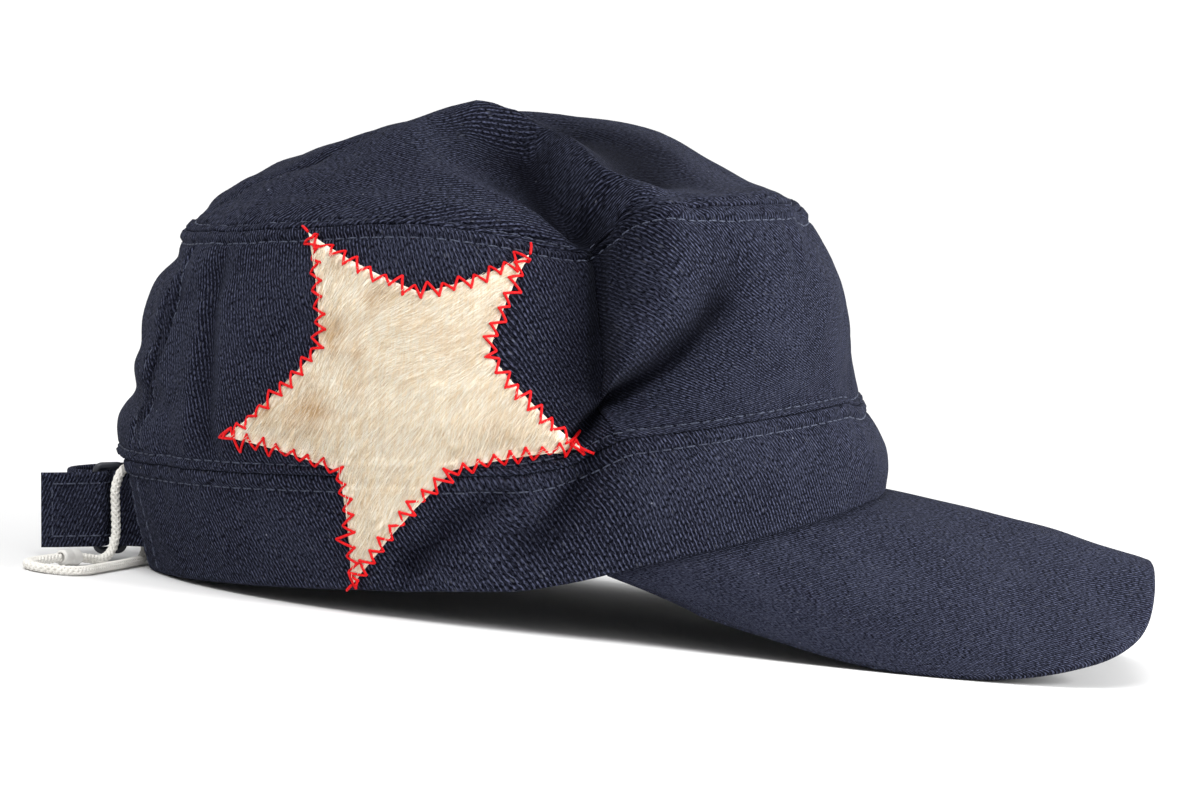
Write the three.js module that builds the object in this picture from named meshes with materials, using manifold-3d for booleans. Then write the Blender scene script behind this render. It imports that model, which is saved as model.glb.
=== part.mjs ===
// Soft cadet cap of navy cotton twill: a domed crown of five panels, a head band that is open at the back,
// a curved peak, a star of hair-on hide on one side, and a back strap with a looped cord.
// Millimetres. +X points out of the peak, -Y is the side with the star, +Z is up. The cap rests on Z = 0,
// leaning back on the band's rear ends and on the two side edges of its peak.

import * as THREE from "three";
import Module from "manifold-3d";
import { mergeVertices } from "three/addons/utils/BufferGeometryUtils.js";

// Cloth, gaps and resting pose
const CLOTH = 2.0;
const PIECE_GAP = 0.3;
const REST_PITCH_DEG = 6.5;
const REST_LIFT = 10.6;

// Panel edges round the cap, in degrees from the front. Minus is the star's side.
const CREASE_DEG = 79;
const BACK_SEAM_DEG = 160;
const BAND_END_DEG = 168;

// Levels up the cap: the band's lower edge, the band seam, the top seam and the crown's middle
const BAND_EDGE = 0;
const BAND_SEAM = 1;
const TOP_SEAM = 2;
const CROWN_MIDDLE = 3;

// How square the ovals are: 2 is an ellipse
const OVAL_POWER = 2.3;
// How the height runs from side to front and from side to back
const FRONT_RISE_POWER = 1.2;
const BACK_RISE_POWER = 2;

// Rows of a table as objects with named columns.
function table(columns, rows) {
  return rows.map((row) => Object.fromEntries(columns.map((column, i) => [column, row[i]])));
}

// Oval sections of the cap in its own frame, from the band's edge to the crown's middle. front, back and
// half_width are the reach from the middle, and the z columns are the heights at front, sides and back.
const SECTIONS = table(
  ["name", "level", "front", "back", "half_width", "z_front", "z_side", "z_back"],
  [
    ["band edge", 0.0, 99.4, 99.0, 81.0, 20, 0, 0],
    ["band middle", 0.5, 99.2, 103.0, 82.2, 31, 15, 15],
    ["band seam", 1.0, 92.6, 105.6, 82.6, 44, 30, 30],
    ["wall low", 1.2, 90.6, 106.0, 84.4, 52, 42, 41],
    ["wall middle", 1.5, 89.4, 101.4, 84.0, 65, 61, 58],
    ["wall high", 1.8, 85.4, 95.2, 79.8, 80, 82, 78],
    ["top seam", 2.0, 76.0, 87.6, 73.0, 95, 96, 90],
    ["top low", 2.33, 61.0, 71.0, 58.0, 103, 106, 103.6],
    ["top high", 2.66, 39.0, 42.0, 32.0, 114, 116.5, 114.2],
    ["crown middle", 3.0, 0.0, 0.0, 0.0, 121, 121, 121],
  ],
);

// Cloth along the surface from one level to the next, for the folds' widths
const BAND_CLOTH = 30;
const WALL_CLOTH = 68;
const TOP_CLOTH = 84;
const GIRTH_RADIUS = 86;

// Folds, each along a line from one angle and level to another. behind and ahead are its half widths
// towards smaller and larger angles, fade is how far it runs on past its ends, depth is inwards for a dent
// and outwards for a roll, and drop is downwards.
const FOLD_COLUMNS = ["name", "from", "to", "behind", "ahead", "fade", "depth", "drop"];
const DENTS = table(FOLD_COLUMNS, [
  ["side crease", [-79, 1.06], [-77, 2.0], 24, 7, 11, [5.5, 9], [0, 3.4]],
  ["top crease", [-77, 2.0], [-79, 2.3], 18, 10, 12, [9, 6.5], [3.4, 1.2]],
  ["top valley", [-79, 2.3], [-84, 2.72], 11, 9, 11, [6.5, 3.5], [0, 0]],
  ["front valley", [-75, 1.24], [-50, 1.74], 7, 12, 12, [8, 4.5], [0, 0]],
  ["back notch", [-210, 1.34], [-158, 1.3], 6, 6, 14, [3.5, 3], [0, 0]],
  ["back top fold", [-204, 1.9], [-166, 1.86], 5, 5, 9, [2.5, 2.5], [0, 0]],
  ["rear ripple", [-149, 1.1], [-150, 1.62], 7, 7, 9, [2, 1], [0, 0]],
  ["plain side crease", [82, 1.35], [84, 2.25], 16, 24, 16, [3, 5], [0, 2]],
]);
const ROLLS = table(FOLD_COLUMNS, [
  ["front roll", [-70, 1.52], [-62, 1.9], 8, 9, 12, [4.2, 3], [0, -0.6]],
  ["front lift", [-73, 1.0], [-23, 1.02], 14, 22, 10, [1.5, 0.8], [-6.4, -2.6]],
  ["front shoulder", [-66, 1.98], [-24, 2.06], 14, 20, 12, [1, 1], [-3.2, -3]],
  ["top crest", [-64, 2.22], [-77, 2.76], 7, 12, 9, [3.4, 4], [0, 0]],
  ["far crest", [40, 2.86], [16, 2.66], 14, 14, 9, [1.6, 1.2], [0, 0]],
  ["top hump", [-150, 2.74], [-108, 2.77], 15, 15, 12, [2.6, 8.4], [0, 0]],
]);

// Peak: its root follows the band's edge, and its outer edge is an oval with these heights along it
const PEAK_THICKNESS = 2.8;
const PEAK_ROOT_DEG = 79;
const PEAK_EDGE_START = 21;
const PEAK_REACH = 150.5;
const PEAK_HALF_WIDTH = 78;
const PEAK_POWER = 3.3;
const PEAK_BOW = 1.6;
const PEAK_END_SHARE = 0.97;
const PEAK_END = 0.99;
const PEAK_COLUMNS = 44;
const PEAK_ROWS = 8;
const PEAK_EDGE = [
  { angle: -7.5, z: -6 },
  { angle: 0, z: 0 },
  { angle: 7.5, z: -6 },
  { angle: 15, z: -12.5 },
  { angle: 24, z: -16.8 },
  { angle: 36, z: -20.4 },
  { angle: 54, z: -23.2 },
  { angle: 70, z: -21 },
  { angle: 82, z: -12 },
  { angle: 90, z: 1 },
];

// Star patch: its corners as seen from the side, in the cap's own frame
const STAR_THICKNESS = 1.2;
const STAR_LIFT = 0.7;
const STAR_EDGE_SAG = 0.9;
const STAR_EDGE_STEPS = 6;
const STAR_RINGS = 6;
const STAR_CENTRE = { x: -30, z: 48 };
const STAR_CORNERS = [
  { name: "top back tip", x: -52.8, z: 92.1 },
  { name: "top notch", x: -23.6, z: 77.8 },
  { name: "top front tip", x: 4.2, z: 87.0 },
  { name: "front notch", x: -6.1, z: 62.1 },
  { name: "front tip", x: 18.2, z: 36.9 },
  { name: "low front notch", x: -15.4, z: 32.0 },
  { name: "low tip", x: -41.6, z: 1.6 },
  { name: "low back notch", x: -45.0, z: 31.5 },
  { name: "back tip", x: -74.6, z: 39.4 },
  { name: "back notch", x: -49.9, z: 63.5 },
];

// Back strap, ring and cord
const STRAP_WIDTH = 20;
const STRAP_THICKNESS = 1.8;
const STRAP_LOW = 6;
const RING_WIRE = 2;
const RING_ROOT_LEG = { x: -104.5, y: -12.5 };
const RING_STRAP_LEG = { x: -111.5, y: -14.5 };
const EYELET_RADIUS = 3.1;
const EYELET_HOLE = 1.8;
const EYELET_TURNS = 14;
const HOLE_TURNS = 12;
// Plan of a strap end where it is sewn inside the band, from its end to the band's mouth. The strap's own
// end is on the far side, and the strap root's mirrors it.
const STRAP_SEWN = table(["x", "y"], [[-90.0, 35], [-92.9, 28], [-95.2, 20.5]]);
// Plan of the strap round the back of the head opening
const STRAP_BOW = table(["x", "y"], [[-99.6, 15.2], [-107, 11], [-114.5, 6], [-119, -1], [-117.5, -8]]);
// Plan of its fold round the ring's leg, measured from that leg, and of its free tab
const STRAP_FOLD = table(["x", "y"], [[-1.2, 2.7], [1.9, 1.75], [2.5, -0.25], [1.25, -2.4]]);
const STRAP_TAB = table(["x", "y"], [[-3, -3.4], [-8.5, -4.6], [-14.5, -5.1]]);

// Cord loop: from the sleeve along the floor, up the strap root's outer side, over it, down inside, under it
// and back along the floor to the sleeve. The route is in the resting frame, before the origin is moved.
const CORD_DIAMETER = 2.7;
const CORD_SIDES = 8;
const CORD_STEPS = 52;
const SLEEVE_DIAMETER = 4.3;
const SLEEVE_LENGTH = 7.9;
const SLEEVE_ROUND = 0.9;
const SLEEVE_SIDES = 16;
const SLEEVE_CENTRE = { x: -117.4, y: -37.0, z: 2.25 };
const SLEEVE_AXIS = { x: -0.55, y: -0.835, z: 0 };
const CORD_ROUTE = [
  [-115.0, -33.4, 2.2],
  [-112.4, -29.4, 1.8],
  [-109.7, -25.3, 1.46],
  [-107.4, -21.8, 3.1],
  [-106.5, -20.2, 7.4],
  [-107.2, -19.7, 14.0],
  [-107.95, -19.4, 20.6],
  [-106.8, -18.05, 24.8],
  [-104.1, -14.9, 26.55],
  [-101.4, -11.75, 24.8],
  [-100.25, -10.4, 20.6],
  [-99.3, -9.5, 14.0],
  [-98.6, -8.8, 7.6],
  [-98.8, -10.4, 3.2],
  [-99.4, -14.5, 1.46],
  [-100.3, -18.5, 1.4],
  [-101.9, -24.5, 1.4],
  [-104.0, -32.0, 1.4],
  [-106.6, -40.5, 1.4],
  [-109.2, -49.0, 1.4],
  [-111.8, -57.0, 1.4],
  [-115.8, -62.6, 1.4],
  [-122.2, -63.8, 1.4],
  [-126.9, -58.9, 1.4],
  [-126.2, -51.5, 1.5],
  [-122.6, -44.9, 1.9],
  [-119.8, -40.6, 2.2],
];

// Finish of each material: colour, roughness
const FINISHES = {
  twill: { color: 0x262a3f, roughness: 0.92 },
  hide: { color: 0xe6d5b4, roughness: 0.85 },
  ring: { color: 0x24262c, roughness: 0.5 },
  cord: { color: 0xecebe4, roughness: 0.8 },
  sleeve: { color: 0xf1f0ec, roughness: 0.35 },
};

const wasm = await Module();
wasm.setup();

const radians = THREE.MathUtils.degToRad;

// A value between rows of a table, on a smooth curve through the rows.
function along(rows, key, column, at) {
  const last = rows.length - 1;
  let i = 0;
  while (i < last - 1 && at > rows[i + 1][key]) i += 1;
  const slope = (k) => {
    const a = Math.max(k - 1, 0);
    const b = Math.min(k + 1, last);
    return (rows[b][column] - rows[a][column]) / (rows[b][key] - rows[a][key]);
  };
  const span = rows[i + 1][key] - rows[i][key];
  const t = (at - rows[i][key]) / span;
  const t2 = t * t;
  const t3 = t2 * t;
  return (
    (2 * t3 - 3 * t2 + 1) * rows[i][column] +
    (t3 - 2 * t2 + t) * span * slope(i) +
    (3 * t2 - 2 * t3) * rows[i + 1][column] +
    (t3 - t2) * span * slope(i + 1)
  );
}

// Point of the smooth cap, before its folds.
function smoothPoint(angle, level) {
  const section = (column) => along(SECTIONS, "level", column, level);
  const cos = Math.cos(radians(angle));
  const sin = Math.sin(radians(angle));
  const ratio = Math.abs(cos) ** (2 / OVAL_POWER);
  const side = Math.sign(sin) * Math.abs(sin) ** (2 / OVAL_POWER);
  const reach = cos > 0 ? section("front") : -section("back");
  const end = cos > 0 ? section("z_front") : section("z_back");
  const rise = ratio ** (cos > 0 ? FRONT_RISE_POWER : BACK_RISE_POWER);
  const z = section("z_side") + (end - section("z_side")) * rise;
  return new THREE.Vector3(reach * ratio, section("half_width") * side, z);
}

// Outward normal of a surface given as a function of angle and level.
function normalOf(point, angle, level) {
  const step = 0.02;
  const top = CROWN_MIDDLE - step;
  const at = Math.min(level, top);
  const round = point(angle + 1, at).sub(point(angle - 1, at));
  const up = point(angle, at + step).sub(point(angle, at - step));
  return round.cross(up).normalize();
}

// Distance along the cloth from the band's edge to a level.
function clothHeight(level) {
  const band = BAND_CLOTH * Math.min(level, BAND_SEAM);
  const wall = WALL_CLOTH * THREE.MathUtils.clamp(level - BAND_SEAM, 0, 1);
  const top = TOP_CLOTH * Math.max(level - TOP_SEAM, 0);
  return band + wall + top;
}

// How strongly a fold acts at an angle and level, from 0 to 1, and how far along it that is.
function foldShare(fold, angle, level) {
  const shrink = THREE.MathUtils.clamp(CROWN_MIDDLE - level, 0, 1);
  const arc = radians(GIRTH_RADIUS) * shrink;
  const wrapped = THREE.MathUtils.euclideanModulo(angle - fold.from[0] + 180, 360) - 180;
  const across = new THREE.Vector2(wrapped * arc, clothHeight(level) - clothHeight(fold.from[1]));
  const line = new THREE.Vector2(
    (fold.to[0] - fold.from[0]) * arc,
    clothHeight(fold.to[1]) - clothHeight(fold.from[1]),
  );
  const length = line.length();
  const way = across.dot(line) / length;
  const past = Math.max(-way, way - length, 0) / fold.fade;
  const offset = (across.x * line.y - across.y * line.x) / length;
  const width = offset < 0 ? fold.behind : fold.ahead;
  const share = Math.exp(-((offset / width) ** 2) - past ** 2);
  return { share, t: THREE.MathUtils.clamp(way / length, 0, 1) };
}

// Largest depth and drop that a table of folds gives at an angle and level.
function deepest(folds, angle, level) {
  const found = { depth: 0, drop: 0 };
  for (const fold of folds) {
    const { share, t } = foldShare(fold, angle, level);
    const depth = share * THREE.MathUtils.lerp(fold.depth[0], fold.depth[1], t);
    const drop = share * THREE.MathUtils.lerp(fold.drop[0], fold.drop[1], t);
    if (depth > found.depth) found.depth = depth;
    if (Math.abs(drop) > Math.abs(found.drop)) found.drop = drop;
  }
  return found;
}

// Point of the cap's outer face, with its folds.
function skinPoint(angle, level) {
  const point = smoothPoint(angle, level);
  const inward = normalOf(smoothPoint, angle, level).negate();
  const dent = deepest(DENTS, angle, level);
  const roll = deepest(ROLLS, angle, level);
  point.addScaledVector(inward, dent.depth - roll.depth);
  point.z -= dent.drop + roll.drop;
  return point;
}

// Point at a distance outside the cap's outer face, or inside it where the distance is below zero.
function offsetPoint(angle, level, distance) {
  const normal = normalOf(skinPoint, angle, level);
  return skinPoint(angle, level).addScaledVector(normal, distance);
}

// Closed wall between two grids of points, rows upwards and columns round. With around, the last column
// meets the first, and with pole, the last row is one point.
function wallGeometry(outer, inner, { around = false, pole = false } = {}) {
  const rows = outer.length;
  const columns = outer[0].length;
  const points = [...outer.flat(), ...inner.flat()];
  const index = [];
  const id = (face, i, j) => {
    const column = pole && i === rows - 1 ? 0 : j % columns;
    return face * rows * columns + i * columns + column;
  };
  const triangle = (a, b, c) => {
    if (a !== b && b !== c && c !== a) index.push(a, b, c);
  };
  const quad = (a, b, c, d) => {
    triangle(a, b, c);
    triangle(a, c, d);
  };
  const spans = around ? columns : columns - 1;
  for (let i = 0; i < rows - 1; i += 1) {
    for (let j = 0; j < spans; j += 1) {
      quad(id(0, i, j), id(0, i, j + 1), id(0, i + 1, j + 1), id(0, i + 1, j));
      quad(id(1, i, j), id(1, i + 1, j), id(1, i + 1, j + 1), id(1, i, j + 1));
    }
  }
  for (let j = 0; j < spans; j += 1) {
    quad(id(1, 0, j), id(1, 0, j + 1), id(0, 0, j + 1), id(0, 0, j));
    const top = rows - 1;
    if (!pole) quad(id(0, top, j), id(0, top, j + 1), id(1, top, j + 1), id(1, top, j));
  }
  for (let i = 0; i < rows - 1 && !around; i += 1) {
    const end = columns - 1;
    quad(id(1, i, 0), id(0, i, 0), id(0, i + 1, 0), id(1, i + 1, 0));
    quad(id(0, i, end), id(1, i, end), id(1, i + 1, end), id(0, i + 1, end));
  }
  const geometry = new THREE.BufferGeometry().setFromPoints(points);
  geometry.setIndex(index);
  return mergeVertices(geometry.deleteAttribute("normal").deleteAttribute("uv"), 1e-4);
}

// Numbers from first to last. crowd above 1 draws them together at the first, below 1 at the last.
function spread(first, last, count, crowd = 1) {
  return Array.from({ length: count + 1 }, (_, i) => {
    const t = i / count;
    const share = crowd >= 1 ? t ** crowd : 1 - (1 - t) ** (1 / crowd);
    return first + (last - first) * share;
  });
}

// Cloth panel over a grid of angles and levels.
function panelGeometry(angles, levels, options) {
  const row = (level, distance) => angles.map((angle) => offsetPoint(angle, level, distance));
  const grid = (distance) => levels.map((level) => row(level, distance));
  return wallGeometry(grid(0), grid(-CLOTH), options);
}

// Half of a seam's gap, a little widened for the flat facets, as an angle and as a share of a level.
const HALF_GAP_SHARE = 0.6;
const HALF_SEAM = PIECE_GAP * HALF_GAP_SHARE;
const GAP_DEG = THREE.MathUtils.radToDeg(HALF_SEAM / GIRTH_RADIUS);
const BAND_GAP = HALF_SEAM / BAND_CLOTH;
const WALL_GAP = HALF_SEAM / WALL_CLOTH;
const TOP_GAP = HALF_SEAM / TOP_CLOTH;

const WALL_ROWS = 9;
const BAND_ROWS = 4;
const TOP_ROWS = 6;
const CREASE_CROWD = 1.4;
const STAR_SIDE_COLUMNS = 22;
const FRONT_COLUMNS = 34;
const PLAIN_SIDE_COLUMNS = 14;
const BACK_COLUMNS = 8;

const wallLevels = spread(BAND_SEAM + WALL_GAP, TOP_SEAM - WALL_GAP, WALL_ROWS);

// Columns of points round the cap, panel by panel, which the band and the top share
const starSideColumns = spread(-BACK_SEAM_DEG, -CREASE_DEG, STAR_SIDE_COLUMNS, 1 / CREASE_CROWD);
const frontColumns = spread(-CREASE_DEG, CREASE_DEG, FRONT_COLUMNS, CREASE_CROWD);
const plainSideColumns = spread(CREASE_DEG, BACK_SEAM_DEG, PLAIN_SIDE_COLUMNS);
const backColumns = spread(BACK_SEAM_DEG, 360 - BACK_SEAM_DEG, BACK_COLUMNS);
const headColumns = [...starSideColumns, ...frontColumns.slice(1), ...plainSideColumns.slice(1)];

// Wall panel of the crown, whose two upright edges stay clear of its neighbours.
function wallPanel(columns) {
  const middle = columns.slice(1, -1);
  return panelGeometry([columns[0] + GAP_DEG, ...middle, columns.at(-1) - GAP_DEG], wallLevels);
}

// Domed top panel.
function topPanel() {
  const levels = spread(TOP_SEAM + TOP_GAP, CROWN_MIDDLE, TOP_ROWS);
  return panelGeometry([...headColumns, ...backColumns.slice(1, -1)], levels, { around: true, pole: true });
}

// Head band, from one of its back ends round the front to the other.
function bandPanel() {
  const levels = spread(BAND_EDGE, BAND_SEAM - BAND_GAP, BAND_ROWS);
  return panelGeometry([-BAND_END_DEG, ...headColumns, BAND_END_DEG], levels);
}

// Point on the peak's upper face: u runs from side to side, v from the root to the outer edge.
function peakPoint(u, v) {
  const root = offsetPoint(u * PEAK_ROOT_DEG, BAND_EDGE, -CLOTH);
  root.z -= PIECE_GAP;
  const turn = Math.abs(u) * 90 * PEAK_END_SHARE;
  const reach = Math.cos(radians(turn)) ** (2 / PEAK_POWER);
  const side = Math.sin(radians(turn)) ** (2 / PEAK_POWER);
  const edge = new THREE.Vector3(
    PEAK_EDGE_START + PEAK_REACH * reach,
    Math.sign(u) * PEAK_HALF_WIDTH * side,
    along(PEAK_EDGE, "angle", "z", turn),
  );
  const point = root.lerp(edge, v);
  point.z += PEAK_BOW * 4 * v * (1 - v) * Math.cos(radians(turn));
  return point;
}

// Point under the peak's upper face, by the peak's thickness.
function peakUnderPoint(u, v) {
  const step = 0.01;
  const across = peakPoint(u + step, v).sub(peakPoint(u - step, v));
  const out = peakPoint(u, v + step).sub(peakPoint(u, v - step));
  const up = out.cross(across).normalize();
  return peakPoint(u, v).addScaledVector(up, -PEAK_THICKNESS);
}

// Curved peak.
function peakGeometry() {
  const us = spread(-PEAK_END, PEAK_END, PEAK_COLUMNS);
  const vs = spread(0, 1, PEAK_ROWS);
  const upper = vs.map((v) => us.map((u) => peakPoint(u, v)));
  const lower = vs.map((v) => us.map((u) => peakUnderPoint(u, v)));
  return wallGeometry(lower, upper);
}

// Angle and level of the skin's point that the side view shows at x and z on the star's side.
function seenFromSide(x, z) {
  let angle = -90 + THREE.MathUtils.radToDeg(x / GIRTH_RADIUS);
  let level = z / WALL_CLOTH + BAND_SEAM / 2;
  const nudge = 0.01;
  const rounds = 14;
  for (let k = 0; k < rounds; k += 1) {
    const here = skinPoint(angle, level);
    const round = skinPoint(angle + nudge, level).sub(here).divideScalar(nudge);
    const up = skinPoint(angle, level + nudge).sub(here).divideScalar(nudge);
    const det = round.x * up.z - up.x * round.z;
    const dx = x - here.x;
    const dz = z - here.z;
    angle += (dx * up.z - up.x * dz) / det;
    level += (round.x * dz - dx * round.z) / det;
    level = THREE.MathUtils.clamp(level, BAND_EDGE, TOP_SEAM - WALL_GAP);
  }
  return { angle, level };
}

// Star patch: rings of its outline shrunk towards the centre, laid on the skin.
function starGeometry() {
  const outline = [];
  STAR_CORNERS.forEach((corner, i) => {
    const next = STAR_CORNERS[(i + 1) % STAR_CORNERS.length];
    const edge = new THREE.Vector2(next.x - corner.x, next.z - corner.z);
    const inward = new THREE.Vector2(edge.y, -edge.x).normalize();
    for (let k = 0; k < STAR_EDGE_STEPS; k += 1) {
      const t = k / STAR_EDGE_STEPS;
      const sag = STAR_EDGE_SAG * 4 * t * (1 - t);
      outline.push({ x: corner.x + edge.x * t + inward.x * sag, z: corner.z + edge.y * t + inward.y * sag });
    }
  });
  const outlineBack = outline.reverse();
  const grid = (distance) =>
    spread(1, 0, STAR_RINGS).map((share) =>
      outlineBack.map((p) => {
        const x = STAR_CENTRE.x + (p.x - STAR_CENTRE.x) * share;
        const z = STAR_CENTRE.z + (p.z - STAR_CENTRE.z) * share;
        const { angle, level } = seenFromSide(x, z);
        return offsetPoint(angle, level, distance);
      }),
    );
  return wallGeometry(grid(STAR_LIFT + STAR_THICKNESS), grid(STAR_LIFT), { around: true, pole: true });
}

// Upright strip of cloth that follows a line of points in plan.
function ribbonGeometry(line, thickness, low, height) {
  const route = line.map((p) => new THREE.Vector3(p.x, p.y, 0));
  const curve = new THREE.CatmullRomCurve3(route, false, "centripetal");
  const steps = line.length * 3;
  const sides = [[], []];
  for (let i = 0; i <= steps; i += 1) {
    const p = curve.getPoint(i / steps);
    const along2 = curve.getTangent(i / steps);
    sides[0].push(new THREE.Vector2(p.x - along2.y * (thickness / 2), p.y + along2.x * (thickness / 2)));
    sides[1].unshift(new THREE.Vector2(p.x + along2.y * (thickness / 2), p.y - along2.x * (thickness / 2)));
  }
  const shape = new THREE.Shape([...sides[0], ...sides[1]]);
  const geometry = new THREE.ExtrudeGeometry(shape, { depth: height, bevelEnabled: false });
  return geometry.translate(0, 0, low);
}

// Strap: from inside the band's far end, out round the back, through the ring and back as the free tab.
function strapLine() {
  const leg = RING_STRAP_LEG;
  const turned = [...STRAP_FOLD, ...STRAP_TAB].map((p) => ({ x: leg.x + p.x, y: leg.y + p.y }));
  return [...STRAP_SEWN, ...STRAP_BOW, ...turned];
}

// Strap root: an eyelet round the ring's leg on a strip that ends inside the band's near end.
function strapRootGeometry() {
  const leg = RING_ROOT_LEG;
  const line = [...STRAP_SEWN.map((p) => new THREE.Vector2(p.x, -p.y)), new THREE.Vector2(leg.x, leg.y)];
  const sides = [[], []];
  const half = STRAP_THICKNESS / 2;
  line.slice(0, -1).forEach((p, i) => {
    const way = line[i + 1].clone().sub(line[Math.max(i - 1, 0)]).normalize();
    sides[0].push(new THREE.Vector2(p.x - way.y * half, p.y + way.x * half));
    sides[1].unshift(new THREE.Vector2(p.x + way.y * half, p.y - way.x * half));
  });
  const last = line[line.length - 2];
  const back = Math.atan2(last.y - leg.y, last.x - leg.x);
  const mouth = Math.asin(half / EYELET_RADIUS);
  const eyelet = spread(back - mouth, back + mouth - 2 * Math.PI, EYELET_TURNS).map(
    (a) => new THREE.Vector2(leg.x + EYELET_RADIUS * Math.cos(a), leg.y + EYELET_RADIUS * Math.sin(a)),
  );
  const shape = new THREE.Shape([...sides[1].reverse(), ...eyelet.reverse(), ...sides[0].reverse()]);
  const hole = new THREE.Path().absarc(leg.x, leg.y, EYELET_HOLE, 0, 2 * Math.PI, true);
  shape.holes.push(hole);
  const upright = { depth: STRAP_WIDTH, bevelEnabled: false, curveSegments: HOLE_TURNS };
  return new THREE.ExtrudeGeometry(shape, upright).translate(0, 0, STRAP_LOW);
}

// Plain ring of square wire, standing between the strap's eyelet and its fold.
function ringGeometry() {
  const dx = RING_STRAP_LEG.x - RING_ROOT_LEG.x;
  const dy = RING_STRAP_LEG.y - RING_ROOT_LEG.y;
  const half = Math.hypot(dx, dy) / 2;
  const wire = RING_WIRE / 2;
  const rise = STRAP_WIDTH / 2 + PIECE_GAP + wire;
  const frame = (x, z) => [
    new THREE.Vector2(-x, -z),
    new THREE.Vector2(x, -z),
    new THREE.Vector2(x, z),
    new THREE.Vector2(-x, z),
  ];
  const shape = new THREE.Shape(frame(half + wire, rise + wire));
  shape.holes.push(new THREE.Path(frame(half - wire, rise - wire)));
  const geometry = new THREE.ExtrudeGeometry(shape, { depth: RING_WIRE, bevelEnabled: false });
  geometry.translate(0, 0, -wire).rotateX(Math.PI / 2).rotateZ(Math.atan2(dy, dx));
  const middle = { x: RING_ROOT_LEG.x + dx / 2, y: RING_ROOT_LEG.y + dy / 2 };
  return geometry.translate(middle.x, middle.y, STRAP_LOW + STRAP_WIDTH / 2);
}

// Solid of a closed geometry, for cutting.
function solidOf(geometry) {
  const bare = geometry.clone().deleteAttribute("normal").deleteAttribute("uv");
  const merged = mergeVertices(bare, 1e-4);
  return new wasm.Manifold(
    new wasm.Mesh({
      numProp: 3,
      vertProperties: new Float32Array(merged.attributes.position.array),
      triVerts: new Uint32Array(merged.index.array),
    }),
  );
}

// Geometry of a solid.
function geometryOf(solid) {
  const mesh = solid.getMesh();
  const geometry = new THREE.BufferGeometry();
  geometry.setAttribute("position", new THREE.BufferAttribute(new Float32Array(mesh.vertProperties), 3));
  geometry.setIndex(Array.from(mesh.triVerts));
  return geometry;
}

// Geometry pressed flat where it reaches below the floor that the cap rests on.
function flattened(geometry, toFloor) {
  const size = 500;
  const block = new THREE.BoxGeometry(size, size, size).translate(0, 0, -size / 2);
  block.applyMatrix4(toFloor.clone().invert());
  return geometryOf(solidOf(geometry).subtract(solidOf(block)));
}

// Cord as a plain tube along its route.
function cordGeometry() {
  const route = CORD_ROUTE.map((p) => new THREE.Vector3(...p));
  const extrudePath = new THREE.CatmullRomCurve3(route, false, "centripetal");
  const section = new THREE.Shape();
  spread(0, 2 * Math.PI, CORD_SIDES).slice(0, -1).forEach((turn, i) => {
    const x = (CORD_DIAMETER / 2) * Math.cos(turn);
    const y = (CORD_DIAMETER / 2) * Math.sin(turn);
    if (i === 0) section.moveTo(x, y);
    else section.lineTo(x, y);
  });
  section.closePath();
  return new THREE.ExtrudeGeometry(section, { steps: CORD_STEPS, extrudePath });
}

// Sleeve with rounded ends over the cord's two ends.
function sleeveGeometry() {
  const r = SLEEVE_DIAMETER / 2;
  const half = SLEEVE_LENGTH / 2;
  const bend = SLEEVE_ROUND * 0.3;
  const profile = [
    new THREE.Vector2(0, -half),
    new THREE.Vector2(r - SLEEVE_ROUND, -half),
    new THREE.Vector2(r - bend, -half + bend),
    new THREE.Vector2(r, -half + SLEEVE_ROUND),
    new THREE.Vector2(r, half - SLEEVE_ROUND),
    new THREE.Vector2(r - bend, half - bend),
    new THREE.Vector2(r - SLEEVE_ROUND, half),
    new THREE.Vector2(0, half),
  ];
  const geometry = new THREE.LatheGeometry(profile, SLEEVE_SIDES);
  const axis = new THREE.Vector3(SLEEVE_AXIS.x, SLEEVE_AXIS.y, SLEEVE_AXIS.z).normalize();
  geometry.applyQuaternion(new THREE.Quaternion().setFromUnitVectors(new THREE.Vector3(0, 1, 0), axis));
  return geometry.translate(SLEEVE_CENTRE.x, SLEEVE_CENTRE.y, SLEEVE_CENTRE.z);
}

// Named mesh with one of the finishes.
function piece(name, geometry, finish) {
  const material = new THREE.MeshStandardMaterial({ ...FINISHES[finish], metalness: 0 });
  const faceted = geometry.index ? geometry.toNonIndexed() : geometry;
  faceted.computeVertexNormals();
  const mesh = new THREE.Mesh(faceted, material);
  mesh.name = name;
  return mesh;
}

const part = new THREE.Group();
const cap = new THREE.Group();
cap.rotation.y = -radians(REST_PITCH_DEG);
cap.position.z = REST_LIFT;
cap.updateMatrix();
part.add(cap);

cap.add(piece("crown_top", topPanel(), "twill"));
cap.add(piece("crown_front", wallPanel(frontColumns), "twill"));
cap.add(piece("crown_side_star", wallPanel(starSideColumns), "twill"));
cap.add(piece("crown_side_plain", wallPanel(plainSideColumns), "twill"));
cap.add(piece("crown_back", wallPanel(backColumns), "twill"));
cap.add(piece("band", flattened(bandPanel(), cap.matrix), "twill"));
cap.add(piece("peak", flattened(peakGeometry(), cap.matrix), "twill"));
cap.add(piece("star_patch", starGeometry(), "hide"));
cap.add(piece("strap", ribbonGeometry(strapLine(), STRAP_THICKNESS, STRAP_LOW, STRAP_WIDTH), "twill"));
cap.add(piece("strap_root", strapRootGeometry(), "twill"));
cap.add(piece("strap_ring", ringGeometry(), "ring"));

// The origin is under the middle of the cap without its cord.
const box = new THREE.Box3().setFromObject(cap, true);
const middle = box.getCenter(new THREE.Vector3());
part.position.set(-middle.x, -middle.y, 0);
part.add(piece("cord_loop", cordGeometry(), "cord"));
part.add(piece("cord_sleeve", sleeveGeometry(), "sleeve"));

export default part;
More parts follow.
